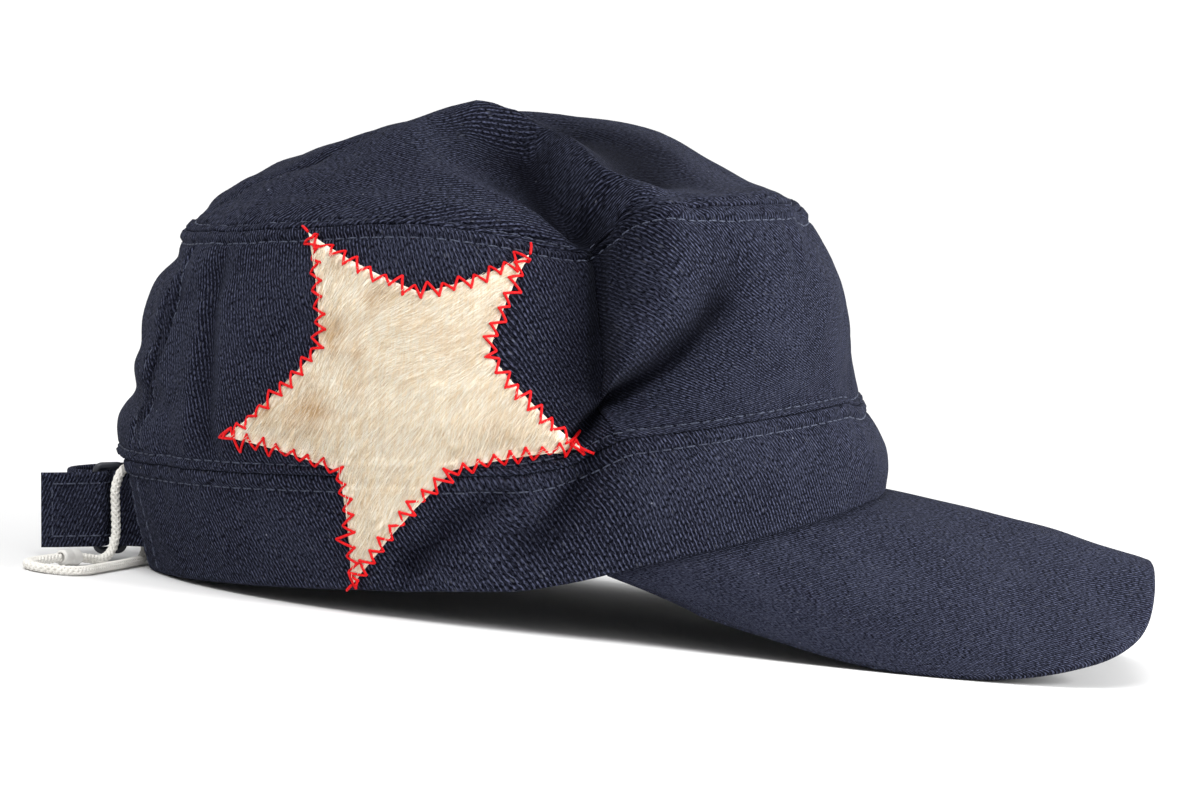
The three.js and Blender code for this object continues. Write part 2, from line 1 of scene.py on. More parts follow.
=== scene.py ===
"""Soft cadet cap of navy twill, with a star of hair-on hide and a looped white cord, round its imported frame.

Sizes are in millimetres in the cap's own frame unless a name says otherwise, and meshes are in metres.
"""

import logging
import math
from dataclasses import dataclass
from enum import Enum, IntEnum
from typing import Callable

import bmesh
import bpy
import numpy as np
from mathutils import Matrix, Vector
from numpy.typing import NDArray


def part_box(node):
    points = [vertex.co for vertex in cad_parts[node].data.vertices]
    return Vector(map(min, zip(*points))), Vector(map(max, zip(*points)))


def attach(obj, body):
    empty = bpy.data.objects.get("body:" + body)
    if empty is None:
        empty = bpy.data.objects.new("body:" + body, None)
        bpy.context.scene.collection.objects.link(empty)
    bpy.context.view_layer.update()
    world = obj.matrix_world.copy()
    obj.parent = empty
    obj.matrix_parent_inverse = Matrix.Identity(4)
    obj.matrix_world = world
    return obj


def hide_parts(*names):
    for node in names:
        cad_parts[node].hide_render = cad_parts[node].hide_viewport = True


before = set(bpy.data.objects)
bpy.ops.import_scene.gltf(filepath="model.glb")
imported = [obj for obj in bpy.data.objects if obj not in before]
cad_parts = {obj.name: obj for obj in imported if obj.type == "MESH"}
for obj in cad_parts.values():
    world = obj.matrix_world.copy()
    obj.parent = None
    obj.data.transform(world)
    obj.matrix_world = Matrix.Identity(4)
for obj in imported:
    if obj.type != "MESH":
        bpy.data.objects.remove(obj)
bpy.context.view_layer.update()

MM = 0.001
BODY = "root"
LOG = logging.getLogger("cadet_cap")
Object = bpy.types.Object
Socket = bpy.types.NodeSocket
Points = NDArray[np.float64]
Pair = tuple[float, float]
Triple = tuple[float, float, float]
Colour = tuple[float, float, float, float]
Surface = Callable[[Points, Points], Points]

CLOTH = 2.0
EDGE_ROUND = 0.48
INNER_RELIEF = 0.5
PIECE_GAP = 0.3
CREASE_DEG = 79.0
STAR_CREASE_DEG = 75.6
BACK_SEAM_DEG = 160.0
BAND_END_DEG = 168.0
GIRTH_RADIUS = 86.0
MM_PER_DEG = math.radians(GIRTH_RADIUS)
BAND_CLOTH = 30.0
WALL_CLOTH = 68.0
TOP_CLOTH = 84.0
BAND_EDGE = 0.0
BAND_SEAM = 1.0
TOP_SEAM = 2.0
CROWN_MIDDLE = 3.0
GRADING_SAMPLES = 4000
UPWARDS = np.array([0.0, 0.0, 1.0])


class Slot(Enum):
    """Material slots of the part's record."""

    TWILL = "twill"
    HIDE = "hide"
    RING = "ring_plastic"
    CORD = "cord"
    SLEEVE = "sleeve_plastic"


class Seed(IntEnum):
    """Numbers that fix what is uneven."""

    HAIR = 5
    BAND_SEAM = 11
    ZIGZAG = 13
    TOP_SEAM = 21
    STAR_BACK_SEAM = 31
    PLAIN_BACK_SEAM = 41
    CLOTH_HILLS = 71
    PEAK_HILLS = 83
    COMB = 97
    STRAP_BENDS = 107
    TOPSTITCHES = 200


def unit(vectors: Points) -> Points:
    """Scale vectors to length one."""
    length = np.linalg.norm(vectors, axis=-1, keepdims=True)
    return vectors / np.maximum(length, 1e-12)


def smooth_step(value: Points | float) -> Points | float:
    """Ease a value, clamped to 0..1, from 0 to 1."""
    share = np.clip(value, 0.0, 1.0)
    return share * share * (3.0 - 2.0 * share)


def turned_from(angle: Points, start: float) -> Points:
    """Angle from a start, from -180 to 180 degrees."""
    return np.mod(angle - start + 180.0, 360.0) - 180.0


def way_along(line: Points) -> Points:
    """Distance of each point of a line from its start."""
    return np.concatenate([[0.0], np.cumsum(np.linalg.norm(np.diff(line, axis=0), axis=1))])


def points_at(at: Points, way: Points, line: Points) -> Points:
    """Points of a line, whose points lie a way along it, at other distances."""
    return np.stack([np.interp(at, way, column) for column in line.T], axis=1)


def along(keys: Points, values: Points, at: Points) -> Points:
    """Read a smooth curve through table rows.

    Args:
        keys: Rising positions of the rows.
        values: Value of each row.
        at: Positions to read.

    Returns:
        Values at those positions.
    """
    last = len(keys) - 1
    before = np.maximum(np.arange(last + 1) - 1, 0)
    after = np.minimum(np.arange(last + 1) + 1, last)
    slope = (values[after] - values[before]) / (keys[after] - keys[before])
    row = np.clip(np.searchsorted(keys, at, side="left") - 1, 0, last - 1)
    span = keys[row + 1] - keys[row]
    t = (at - keys[row]) / span
    t2 = t * t
    t3 = t2 * t
    low = (2 * t3 - 3 * t2 + 1) * values[row] + (t3 - 2 * t2 + t) * span * slope[row]
    high = (3 * t2 - 2 * t3) * values[row + 1] + (t3 - t2) * span * slope[row + 1]
    return low + high


def graded(length: float, fine: float, coarse: float, reach: Pair) -> Points:
    """Positions along a length, drawn together at its ends.

    Args:
        length: Whole length.
        fine: Spacing at an end.
        coarse: Spacing in the middle.
        reach: How far the fine spacing holds at the first and last end, 0 for none.

    Returns:
        Rising positions from 0 to length.
    """
    way = np.linspace(0.0, length, GRADING_SAMPLES)
    share = np.ones_like(way)
    for distance, held in ((way, reach[0]), (length - way, reach[1])):
        if held:
            share = np.minimum(share, smooth_step(distance / (2 * held) - 0.5))
    step = fine + (coarse - fine) * share
    mean = (step[1:] + step[:-1]) / 2
    count = np.concatenate([[0.0], np.cumsum(np.diff(way) / mean)])
    return np.interp(np.linspace(0.0, count[-1], round(count[-1]) + 1), count, way)


def ripple(way: Points, seed: int, waves: tuple[float, ...]) -> Points:
    """Smooth uneven wave along a line.

    Args:
        way: Positions along the line.
        seed: Number that fixes the phases.
        waves: Wave lengths.

    Returns:
        Heights of about -1 to 1.
    """
    phases = np.random.default_rng(seed).uniform(0.0, 2 * math.pi, len(waves))
    total = sum(np.sin(2 * math.pi * way / wave + phase) for wave, phase in zip(waves, phases))
    return total / math.sqrt(len(waves))


def uneven(u: Points, v: Points, seed: int, waves: Pair, count: int = 9) -> Points:
    """Smooth uneven hills over a cloth.

    Args:
        u: Positions along the cloth.
        v: Positions across the cloth.
        seed: Number that fixes directions and phases.
        waves: Shortest and longest wave.
        count: Number of waves added up.

    Returns:
        Heights of about -1 to 1.
    """
    draw = np.random.default_rng(seed)
    total = np.zeros_like(u)
    for wave in np.geomspace(waves[0], waves[1], count):
        turn, phase = draw.uniform(0.0, 2 * math.pi, 2)
        total += np.sin(2 * math.pi * (u * math.cos(turn) + v * math.sin(turn)) / wave + phase)
    return total / math.sqrt(count)


@dataclass(frozen=True)
class Rest:
    """How the cap rests on the floor: leaning back, lifted, and carried to the frame's origin."""

    pitch_deg: float = 6.5
    lift: float = 10.6
    sleeve_middle: Triple = (-117.4, -37.0, 2.25)
    press: float = 0.6

    def from_floor(self, points: Points) -> Points:
        """Carry points of the resting frame to the part's frame, in metres."""
        low, high = (np.array(corner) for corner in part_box("cord_sleeve"))
        return points * MM + (low + high) / 2 - np.array(self.sleeve_middle) * MM

    def turn(self, vectors: Points) -> Points:
        """Turn vectors of the cap's own frame as the cap leans.

        Args:
            vectors: Vectors in the last axis.

        Returns:
            Turned vectors.
        """
        cos = math.cos(math.radians(self.pitch_deg))
        sin = math.sin(math.radians(self.pitch_deg))
        x, y, z = vectors[..., 0], vectors[..., 1], vectors[..., 2]
        return np.stack([x * cos - z * sin, y, x * sin + z * cos], axis=-1)

    def from_cap(self, points: Points, pressed: bool = False) -> Points:
        """Carry points of the cap's own frame to the part's frame.

        Args:
            points: Points in millimetres.
            pressed: Whether cloth that would reach below the floor is pressed flat on it.

        Returns:
            Points in metres.
        """
        placed = self.turn(points) + self.lift * UPWARDS
        if pressed:
            low = np.minimum(placed[..., 2], self.press)
            flat = self.press * np.exp((low - self.press) / self.press)
            placed[..., 2] = np.where(placed[..., 2] < self.press, flat, placed[..., 2])
        return self.from_floor(placed)


REST = Rest()


def cloth_height(level: Points) -> Points:
    """Distance along the cloth from the band's edge to a level.

    Args:
        level: Levels from 0, the band's edge, to 3, the crown's middle.

    Returns:
        Distances in millimetres.
    """
    band = BAND_CLOTH * np.minimum(level, BAND_SEAM)
    wall = WALL_CLOTH * np.clip(level - BAND_SEAM, 0.0, 1.0)
    return band + wall + TOP_CLOTH * np.maximum(level - TOP_SEAM, 0.0)


def level_at(height: Points) -> Points:
    """Level at a distance along the cloth from the band's edge."""
    levels = np.array([BAND_EDGE, BAND_SEAM, TOP_SEAM, CROWN_MIDDLE])
    return np.interp(height, cloth_height(levels), levels)


@dataclass(frozen=True)
class Fold:
    """A dent or roll of the cloth along a line from one angle and level to another.

    behind and ahead are its half widths towards smaller and larger angles, fade is how far it runs on past
    its ends, depth is inwards for a dent and outwards for a roll, and drop is downwards.
    """

    start: Pair
    end: Pair
    behind: float
    ahead: float
    fade: float
    depth: Pair
    drop: Pair = (0.0, 0.0)

    def act(self, angle: Points, level: Points) -> tuple[Points, Points]:
        """Depth and drop of the fold.

        Args:
            angle: Angles round the cap in degrees.
            level: Levels up the cap.

        Returns:
            Depths and drops in millimetres.
        """
        arc = MM_PER_DEG * np.clip(CROWN_MIDDLE - level, 0.0, 1.0)
        base = cloth_height(np.float64(self.start[1]))
        across_x = turned_from(angle, self.start[0]) * arc
        across_y = cloth_height(level) - base
        line_x = (self.end[0] - self.start[0]) * arc
        line_y = cloth_height(np.float64(self.end[1])) - base
        length = np.maximum(np.hypot(line_x, line_y), 1e-9)
        way = (across_x * line_x + across_y * line_y) / length
        past = np.maximum(np.maximum(-way, way - length), 0.0) / self.fade
        offset = (across_x * line_y - across_y * line_x) / length
        width = np.where(offset < 0, self.behind, self.ahead)
        share = np.where(length > 1e-6, np.exp(-((offset / width) ** 2) - past**2), 0.0)
        t = np.clip(way / length, 0.0, 1.0)
        depth = share * (self.depth[0] + (self.depth[1] - self.depth[0]) * t)
        return depth, share * (self.drop[0] + (self.drop[1] - self.drop[0]) * t)


@dataclass(frozen=True)
class Groove(Fold):
    """A sharp fold with shade painted into its cloth: dark is the share of painted shade at its deepest."""

    SHADE_POWER = 1.5

    dark: float = 0.5

    def painted_shade(self, angle: Points, level: Points) -> Points:
        """Share of painted shade at angles and levels."""
        return self.dark * (self.act(angle, level)[0] / max(self.depth)) ** self.SHADE_POWER


def normal_of(surface: Surface, angle: Points, level: Points) -> Points:
    """Outward normal of a surface over angle and level.

    Args:
        surface: Function from angle and level to points.
        angle: Angles round the cap in degrees.
        level: Levels up the cap.

    Returns:
        Unit normals.
    """
    step = 0.02
    at = np.minimum(level, CROWN_MIDDLE - step)
    round_way = surface(angle + 1.0, at) - surface(angle - 1.0, at)
    up_way = surface(angle, at + step) - surface(angle, at - step)
    return unit(np.cross(round_way, up_way))


@dataclass(frozen=True)
class SeamRelief:
    """Relief of a flat-felled seam: a groove between two swellings, each held down by a stitch row."""

    row_offset: float = 3.6
    swell: float = 0.7
    swell_edge: float = 1.3
    dip: float = 0.5
    dip_width: float = 0.7
    lump: float = 0.22
    lump_waves: tuple[float, ...] = (3.4, 5.3, 8.7, 13.0)
    pucker: float = 0.26
    pucker_start: float = 1.5
    pucker_reach: float = 6.0
    pucker_waves: tuple[float, ...] = (5.1, 7.7, 11.3)
    side_shift: float = 40.0

    def height(self, distance: Points, way: Points, seed: int) -> Points:
        """Height of the cloth near the seam.

        Args:
            distance: Distance from the seam, with its sign.
            way: Position along the seam.
            seed: Number that fixes the unevenness.

        Returns:
            Heights in millimetres.
        """
        away = np.abs(distance)
        side_way = way + np.where(distance < 0, self.side_shift, 0.0)
        lumps = 1.0 + self.lump * ripple(side_way, seed, self.lump_waves)
        swelling = self.swell * lumps * smooth_step((self.row_offset - away) / self.swell_edge)
        held = -self.dip * np.exp(-(((away - self.row_offset) / self.dip_width) ** 2))
        past = np.maximum(away - self.row_offset, 0.0)
        fading = smooth_step(past / self.pucker_start) * np.exp(-past / self.pucker_reach)
        return swelling + held + self.pucker * fading * ripple(side_way, seed + 1, self.pucker_waves)


class CapForm:
    """The cap's outer face over angle and level, with its folds and the relief of its seams.

    Angles are in degrees from the front, minus on the star's side. Levels are 0 at the band's edge, 1 at the
    band seam, 2 at the top seam and 3 at the crown's middle.
    """

    OVAL_POWER = 2.3
    FRONT_RISE_POWER = 1.2
    BACK_RISE_POWER = 2.0

    # level, front reach, back reach, half width, front height, side height, back height
    SECTIONS = np.array([
        (0.0, 99.4, 99.0, 81.0, 20.0, 0.0, 0.0),
        (0.5, 99.2, 103.0, 82.2, 31.0, 15.0, 15.0),
        (1.0, 92.6, 105.6, 82.6, 44.0, 30.0, 30.0),
        (1.2, 90.6, 106.0, 84.4, 52.0, 42.0, 41.0),
        (1.5, 89.4, 101.4, 84.0, 65.0, 61.0, 58.0),
        (1.8, 85.4, 95.2, 79.8, 80.0, 82.0, 78.0),
        (2.0, 76.0, 87.6, 73.0, 95.0, 96.0, 90.0),
        (2.33, 61.0, 71.0, 58.0, 103.0, 106.0, 103.6),
        (2.66, 39.0, 42.0, 32.0, 114.0, 116.5, 114.2),
        (3.0, 0.0, 0.0, 0.0, 121.0, 121.0, 121.0),
    ])

    DENTS = {
        "side crease": Fold((-79, 1.06), (-77, 2.0), 24, 7, 11, (5.5, 9), (0, 3.4)),
        "top crease": Fold((-77, 2.0), (-79, 2.3), 18, 10, 12, (9, 6.5), (3.4, 1.2)),
        "top valley": Fold((-79, 2.3), (-84, 2.72), 11, 9, 11, (6.5, 3.5)),
        "front valley": Fold((-75, 1.24), (-50, 1.74), 7, 12, 12, (8, 4.5)),
        "back notch": Fold((-210, 1.34), (-158, 1.3), 6, 6, 14, (3.5, 3)),
        "back top fold": Fold((-204, 1.9), (-166, 1.86), 5, 5, 9, (2.5, 2.5)),
        "rear ripple": Fold((-149, 1.1), (-150, 1.62), 7, 7, 9, (2, 1)),
        "plain side crease": Fold((82, 1.35), (84, 2.25), 16, 24, 16, (3, 5), (0, 2)),
    }
    ROLLS = {
        "front roll": Fold((-70, 1.52), (-62, 1.9), 8, 9, 12, (4.2, 3), (0, -0.6)),
        "front lift": Fold((-73, 1.0), (-23, 1.02), 14, 22, 10, (1.5, 0.8), (-6.4, -2.6)),
        "front shoulder": Fold((-66, 1.98), (-24, 2.06), 14, 20, 12, (1, 1), (-3.2, -3)),
        "top crest": Fold((-64, 2.22), (-77, 2.76), 7, 12, 9, (3.4, 4)),
        "far crest": Fold((40, 2.86), (16, 2.66), 14, 14, 9, (1.6, 1.2)),
        "top hump": Fold((-150, 2.74), (-108, 2.77), 15, 15, 12, (2.6, 8.4)),
    }
    # Sharp folds within the dents, with painted shade in their cloth. A row called an edge hardly dips: it is
    # only painted shade beside a fold.
    GROOVES = {
        "crease": Groove((-76.7, 1.2), (-73.8, 2.0), 9, 5, 8, (9, 15), dark=0.85),
        "crease edge": Groove((-77.5, 1.25), (-75, 2.0), 14, 10, 9, (0.1, 0.1), dark=0.78),
        "crease hollow": Groove((-72, 1.72), (-70, 2.04), 6, 7, 8, (9, 8), dark=0.65),
        "top": Groove((-73.5, 2.0), (-75, 2.3), 13, 7, 8, (13, 15), dark=0.9),
        "hump": Groove((-75, 2.3), (-88, 2.7), 13, 6, 7, (16, 12), dark=0.8),
        "hump edge": Groove((-74, 2.02), (-87, 2.66), 6, 7, 8, (0.1, 0.1), dark=0.86),
        "valley": Groove((-76.6, 1.2), (-54, 1.66), 6.5, 4.5, 16, (14, 4), dark=0.9),
        "valley edge": Groove((-75, 1.23), (-54, 1.66), 8, 5, 14, (0.1, 0.1), dark=0.88),
        "band crease": Groove((-87.5, 0.45), (-79.5, 0.97), 5, 6, 7, (5.5, 6.5), dark=0.6),
        "band pull": Groove((-102, 0.28), (-92, 0.82), 4, 4.5, 7, (4.5, 3.6), dark=0.55),
        "beyond the crest": Groove((-46, 2.84), (-55, 2.45), 11, 12, 10, (7, 6), dark=0.75),
        "beyond the crest, far edge": Groove((-40, 2.86), (-52, 2.42), 18, 18, 10, (0.1, 0.1), dark=0.8),
        "rear top valley": Groove((-174, 2.16), (-157, 2.56), 5, 4, 8, (4, 4), dark=0.6),
        "rear pull": Groove((-144, 1.8), (-137, 1.16), 4, 4, 8, (3, 3), dark=0.4),
        "rear edge pull": Groove((-157, 1.7), (-160, 1.25), 4, 4, 8, (2.5, 2.5), dark=0.4),
    }
    # Smaller folds of the cloth, a dent above zero and a roll below
    WRINKLES = {
        "star pull": Fold((-128, 1.53), (-119, 1.69), 3, 3, 6, (1.2, 0.9)),
        "hump pull": Fold((-115, 2.68), (-103, 2.5), 4, 4, 8, (1.2, 0.9)),
        "second valley": Fold((-62, 1.1), (-40, 1.4), 4, 5, 9, (0.6, 0.3)),
        "front pull": Fold((-40, 1.62), (-22, 1.86), 5, 6, 10, (0.6, 0.4)),
        "front low dent": Fold((-30, 1.12), (-12, 1.22), 6, 6, 12, (0.7, 0.5)),
        "rear pull": Fold((-150, 1.75), (-128, 1.9), 4, 5, 9, (0.9, 0.5)),
        "rear low pull": Fold((-158, 1.2), (-140, 1.34), 3, 4, 8, (0.9, 0.5)),
        "crown ripple": Fold((-160, 2.2), (-118, 2.3), 6, 6, 10, (0.9, 0.7)),
        "crown rear ripple": Fold((-176, 2.42), (-140, 2.5), 6, 7, 10, (0.8, 0.6)),
        "crown front ripple": Fold((-40, 2.4), (-10, 2.5), 7, 7, 12, (0.7, 0.5)),
        "plain side pull": Fold((98, 1.2), (120, 1.7), 6, 6, 12, (0.9, 0.7)),
        "plain front pull": Fold((34, 1.3), (58, 1.72), 6, 6, 12, (0.8, 0.6)),
        "back sag": Fold((176, 1.5), (196, 1.56), 4, 4, 8, (1.2, 1.0)),
    }
    # How the front roll leans back over the crease: depth is the way it slides round the cap
    LEAN = Fold((-71.5, 1.2), (-71, 1.78), 6.5, 11, 8, (5.5, 3.5))
    RELIEF = SeamRelief()
    BACK_SEAM_RELIEF = 0.7
    BACK_SEAM_LEVELS = (1.05, 1.95)
    BACK_SEAM_FADE = 0.03
    HILLS = 0.3
    HILL_WAVES = (9.0, 46.0)
    HILL_SLANT = (0.6, 0.8)
    HEM_HILLS = 0.35
    HEM_REACH = 0.3
    WALL_LEAST_TILT = 0.2
    TILT_REACH = 0.3
    SEARCH_STEPS = 14

    def section(self, column: int, level: Points) -> Points:
        """One column of the section table at a level."""
        return along(self.SECTIONS[:, 0], self.SECTIONS[:, column], level)

    def smooth(self, angle: Points, level: Points) -> Points:
        """Point of the cap before its folds.

        Args:
            angle: Angles round the cap in degrees.
            level: Levels up the cap.

        Returns:
            Points in the cap's frame.
        """
        cos = np.cos(np.radians(angle))
        sin = np.sin(np.radians(angle))
        ahead = cos > 0
        ratio = np.abs(cos) ** (2 / self.OVAL_POWER)
        side = np.sign(sin) * np.abs(sin) ** (2 / self.OVAL_POWER)
        reach = np.where(ahead, self.section(1, level), -self.section(2, level))
        side_z = self.section(5, level)
        end_z = np.where(ahead, self.section(4, level), self.section(6, level))
        rise = ratio ** np.where(ahead, self.FRONT_RISE_POWER, self.BACK_RISE_POWER)
        width = self.section(3, level) * side
        return np.stack([reach * ratio, width, side_z + (end_z - side_z) * rise], axis=-1)

    def deepest(self, folds: dict[str, Fold], angle: Points, level: Points) -> tuple[Points, Points]:
        """Largest depth and drop among folds.

        Args:
            folds: The folds by name.
            angle: Angles round the cap in degrees.
            level: Levels up the cap.

        Returns:
            Depths and drops in millimetres.
        """
        depth = np.zeros_like(angle)
        drop = np.zeros_like(angle)
        for fold in folds.values():
            one_depth, one_drop = fold.act(angle, level)
            depth = np.maximum(depth, one_depth)
            drop = np.where(np.abs(one_drop) > np.abs(drop), one_drop, drop)
        return depth, drop

    def skin(self, angle: Points, level: Points) -> Points:
        """Point of the outer face with its main folds.

        Args:
            angle: Angles round the cap in degrees.
            level: Levels up the cap.

        Returns:
            Points in the cap's frame.
        """
        dent, dent_drop = self.deepest(self.DENTS, angle, level)
        roll, roll_drop = self.deepest(self.ROLLS, angle, level)
        groove, _ = self.deepest(self.GROOVES, angle, level)
        slid = angle - self.LEAN.act(angle, level)[0] / MM_PER_DEG
        normal = normal_of(self.smooth, slid, level)
        point = self.smooth(slid, level) + normal * (roll - dent)[..., None]
        point[..., 2] -= dent_drop + roll_drop
        least = self.WALL_LEAST_TILT
        normal[..., 2] *= least + (1.0 - least) * smooth_step((level - TOP_SEAM) / self.TILT_REACH)
        return point - unit(normal) * np.maximum(groove - dent, 0.0)[..., None]

    def painted_shade(self, angle: Points, level: Points) -> Points:
        """Share of painted shade in the grooves' cloth."""
        return np.max([groove.painted_shade(angle, level) for groove in self.GROOVES.values()], axis=0)

    def relief(self, angle: Points, level: Points) -> Points:
        """Height of seams, puckers and small wrinkles over the outer face.

        Args:
            angle: Angles round the cap in degrees.
            level: Levels up the cap.

        Returns:
            Heights in millimetres, outwards.
        """
        way = angle * MM_PER_DEG
        height = cloth_height(level)
        total = self.RELIEF.height(height - BAND_CLOTH, way, Seed.BAND_SEAM)
        total += self.RELIEF.height(height - BAND_CLOTH - WALL_CLOTH, way, Seed.TOP_SEAM)
        low, high = self.BACK_SEAM_LEVELS
        in_wall = smooth_step((level - low) / self.BACK_SEAM_FADE)
        in_wall = in_wall * smooth_step((high - level) / self.BACK_SEAM_FADE)
        for seed, seam in ((Seed.STAR_BACK_SEAM, -BACK_SEAM_DEG), (Seed.PLAIN_BACK_SEAM, BACK_SEAM_DEG)):
            off = turned_from(angle, seam) * MM_PER_DEG
            total += in_wall * self.RELIEF.height(off, height, seed) * self.BACK_SEAM_RELIEF
        for wrinkle in self.WRINKLES.values():
            total -= wrinkle.act(angle, level)[0]
        girth = GIRTH_RADIUS * np.clip(CROWN_MIDDLE - level, 0.0, 1.0)
        hill_x = np.cos(np.radians(angle)) * girth + self.HILL_SLANT[0] * height
        hill_y = np.sin(np.radians(angle)) * girth - self.HILL_SLANT[1] * height
        hills = uneven(hill_x, hill_y, Seed.CLOTH_HILLS, self.HILL_WAVES)
        grown = self.HEM_HILLS + (1.0 - self.HEM_HILLS) * smooth_step(level / self.HEM_REACH)
        return total + self.HILLS * hills * grown

    def face(self, angle: Points, level: Points, distance: Points) -> Points:
        """Point at a distance outside the folded face, without its relief."""
        normal = normal_of(self.skin, angle, level)
        return self.skin(angle, level) + normal * distance[..., None]

    def dressed(self, angle: Points, level: Points) -> Points:
        """Point of the outer face with its relief."""
        return self.face(angle, level, self.relief(angle, level))

    def wall(self, angle: Points, level: Points, drop: Points, relief: Points) -> tuple[Points, Points]:
        """Outer and inner face of the cloth.

        Args:
            angle: Angles round the cap in degrees.
            level: Levels up the cap.
            drop: How far both faces fall back at rounded edges.
            relief: Height of the relief.

        Returns:
            Points of the outer and of the inner face in the cap's frame.
        """
        outer = self.face(angle, level, relief - drop)
        return outer, self.face(angle, level, relief * INNER_RELIEF - CLOTH + drop)

    def from_side(self, x: Points, z: Points) -> tuple[Points, Points]:
        """Find where a side view's point lies on the star's side.

        Args:
            x: Positions along the cap.
            z: Heights in the cap's frame.

        Returns:
            Angles and levels.
        """
        angle = -90.0 + np.degrees(x / GIRTH_RADIUS)
        level = z / WALL_CLOTH + BAND_SEAM / 2
        nudge = 0.01
        for _ in range(self.SEARCH_STEPS):
            here = self.skin(angle, level)
            round_way = (self.skin(angle + nudge, level) - here) / nudge
            up_way = (self.skin(angle, level + nudge) - here) / nudge
            det = round_way[..., 0] * up_way[..., 2] - up_way[..., 0] * round_way[..., 2]
            dx = x - here[..., 0]
            dz = z - here[..., 2]
            angle = angle + (dx * up_way[..., 2] - up_way[..., 0] * dz) / det
            level = level + (round_way[..., 0] * dz - dx * round_way[..., 2]) / det
            level = np.clip(level, BAND_EDGE, TOP_SEAM - 0.002)
        return angle, level


FORM = CapForm()


class NodeBoard:
    """A node tree under construction, for a material or for geometry."""

    def __init__(self, tree: bpy.types.NodeTree) -> None:
        """Keep the tree that nodes go into."""
        self.tree = tree

    def feed(self, node: bpy.types.Node, inputs: dict) -> None:
        """Give a node its inputs.

        Args:
            node: The node.
            inputs: Values or output sockets by input name or number.
        """
        for name, value in inputs.items():
            if isinstance(value, Socket):
                self.tree.links.new(value, node.inputs[name])
            else:
                node.inputs[name].default_value = value

    def add(self, kind: str, inputs: dict | None = None, **settings: object) -> bpy.types.Node:
        """Add a node.

        Args:
            kind: The node's type name.
            inputs: Values or output sockets by input name or number.
            settings: Properties of the node.

        Returns:
            The new node.
        """
        node = self.tree.nodes.new(kind)
        for name, value in settings.items():
            setattr(node, name, value)
        self.feed(node, inputs or {})
        return node

    def out(self, kind: str, inputs: dict | None = None, **settings: object) -> Socket:
        """Add a node and give its first output."""
        return self.add(kind, inputs, **settings).outputs[0]

    def math(self, operation: str, *values: object) -> Socket:
        """Add a Math node and give its output."""
        return self.out("ShaderNodeMath", dict(enumerate(values)), operation=operation)

    def mix(self, factor: object, first: object, second: object) -> Socket:
        """Add a colour mix and give its output."""
        node = self.add("ShaderNodeMix", {0: factor, 6: first, 7: second}, data_type="RGBA")
        return node.outputs[2]

    def ramp(self, value: object, low: float, high: float, kind: str = "SMOOTHSTEP") -> Socket:
        """Map a value from low..high to 0..1 and give the output."""
        return self.out("ShaderNodeMapRange", {0: value, 1: low, 2: high}, interpolation_type=kind)

    def place(self) -> Socket:
        """Give the object's own coordinates."""
        return self.add("ShaderNodeTexCoord").outputs["Object"]

    def mapped(self, vector: object, scale: Triple, turn: Triple = (0.0, 0.0, 0.0)) -> Socket:
        """Scale and turn coordinates and give them."""
        return self.out("ShaderNodeMapping", {"Vector": vector, "Rotation": turn, "Scale": scale})

    def noise(self, vector: object, scale: float, detail: float, waver: float = 0.0) -> Socket:
        """Add a noise and give its height."""
        inputs = {"Vector": vector, "Scale": scale, "Detail": detail, "Distortion": waver}
        return self.out("ShaderNodeTexNoise", inputs)

    def specks(self, vector: object, scale: float, near: Pair, chance: Pair) -> Socket:
        """Scatter specks, one at most in each cell.

        Args:
            vector: Coordinates.
            scale: Scale of the cells.
            near: Distances from a speck's middle at which it ends and is whole.
            chance: Draws at which a cell's speck starts to show and is whole.

        Returns:
            Output with the specks' share.
        """
        cells = self.add("ShaderNodeTexVoronoi", {"Vector": vector, "Scale": scale}, feature="F1")
        draw = self.out("ShaderNodeSeparateColor", {0: cells.outputs["Color"]})
        return self.math("MULTIPLY", self.ramp(cells.outputs["Distance"], *near), self.ramp(draw, *chance))

    def kept(self, name: str) -> Socket:
        """Give a number that the mesh keeps at its points, to a material."""
        return self.add("ShaderNodeAttribute", attribute_name=name).outputs["Fac"]

    def vector(self, x: object = 0.0, y: object = 0.0, z: object = 0.0) -> Socket:
        """Join three numbers to a vector."""
        return self.out("ShaderNodeCombineXYZ", {"X": x, "Y": y, "Z": z})

    def draw(self, low: float, high: float, seed: object) -> Socket:
        """Draw a number for each point."""
        inputs = {2: low, 3: high, "Seed": seed}
        return self.add("FunctionNodeRandomValue", inputs, data_type="FLOAT").outputs[1]

    def sweep(self, line: object, radius: object, sides: object, **inputs: object) -> Socket:
        """Run a round section along curves and give the closed mesh."""
        section = self.out("GeometryNodeCurvePrimitiveCircle", {"Resolution": sides, "Radius": radius})
        return self.out("GeometryNodeCurveToMesh", {0: line, 1: section, "Fill Caps": True, **inputs})


CLOTH_UV = "cloth"
# Name of the kept share of painted shade in the creases.
PAINTED_SHADE = "painted_shade"
BLOTCH = "blotch"
TINT = "tint"
UV_PER_MM = 0.01


class Finish:
    """A material of the cap, built once from its nodes."""

    name: str

    def material(self) -> bpy.types.Material:
        """Give the material, building it at first use.

        Returns:
            The material.
        """
        known = bpy.data.materials.get(self.name)
        if known:
            return known
        made = bpy.data.materials.new(self.name)
        made.use_nodes = True
        board = NodeBoard(made.node_tree)
        board.feed(made.node_tree.nodes["Principled BSDF"], self.coat(board))
        return made

    def coat(self, board: NodeBoard) -> dict:
        """Build the finish's own nodes and give the shader's inputs by name."""
        raise NotImplementedError

    def bump(self, board: NodeBoard, height: object, depth: float, strength: float) -> Socket:
        """Add a bump of a depth in millimetres and give its normal."""
        return board.out("ShaderNodeBump", {"Strength": strength, "Distance": depth * MM, "Height": height})


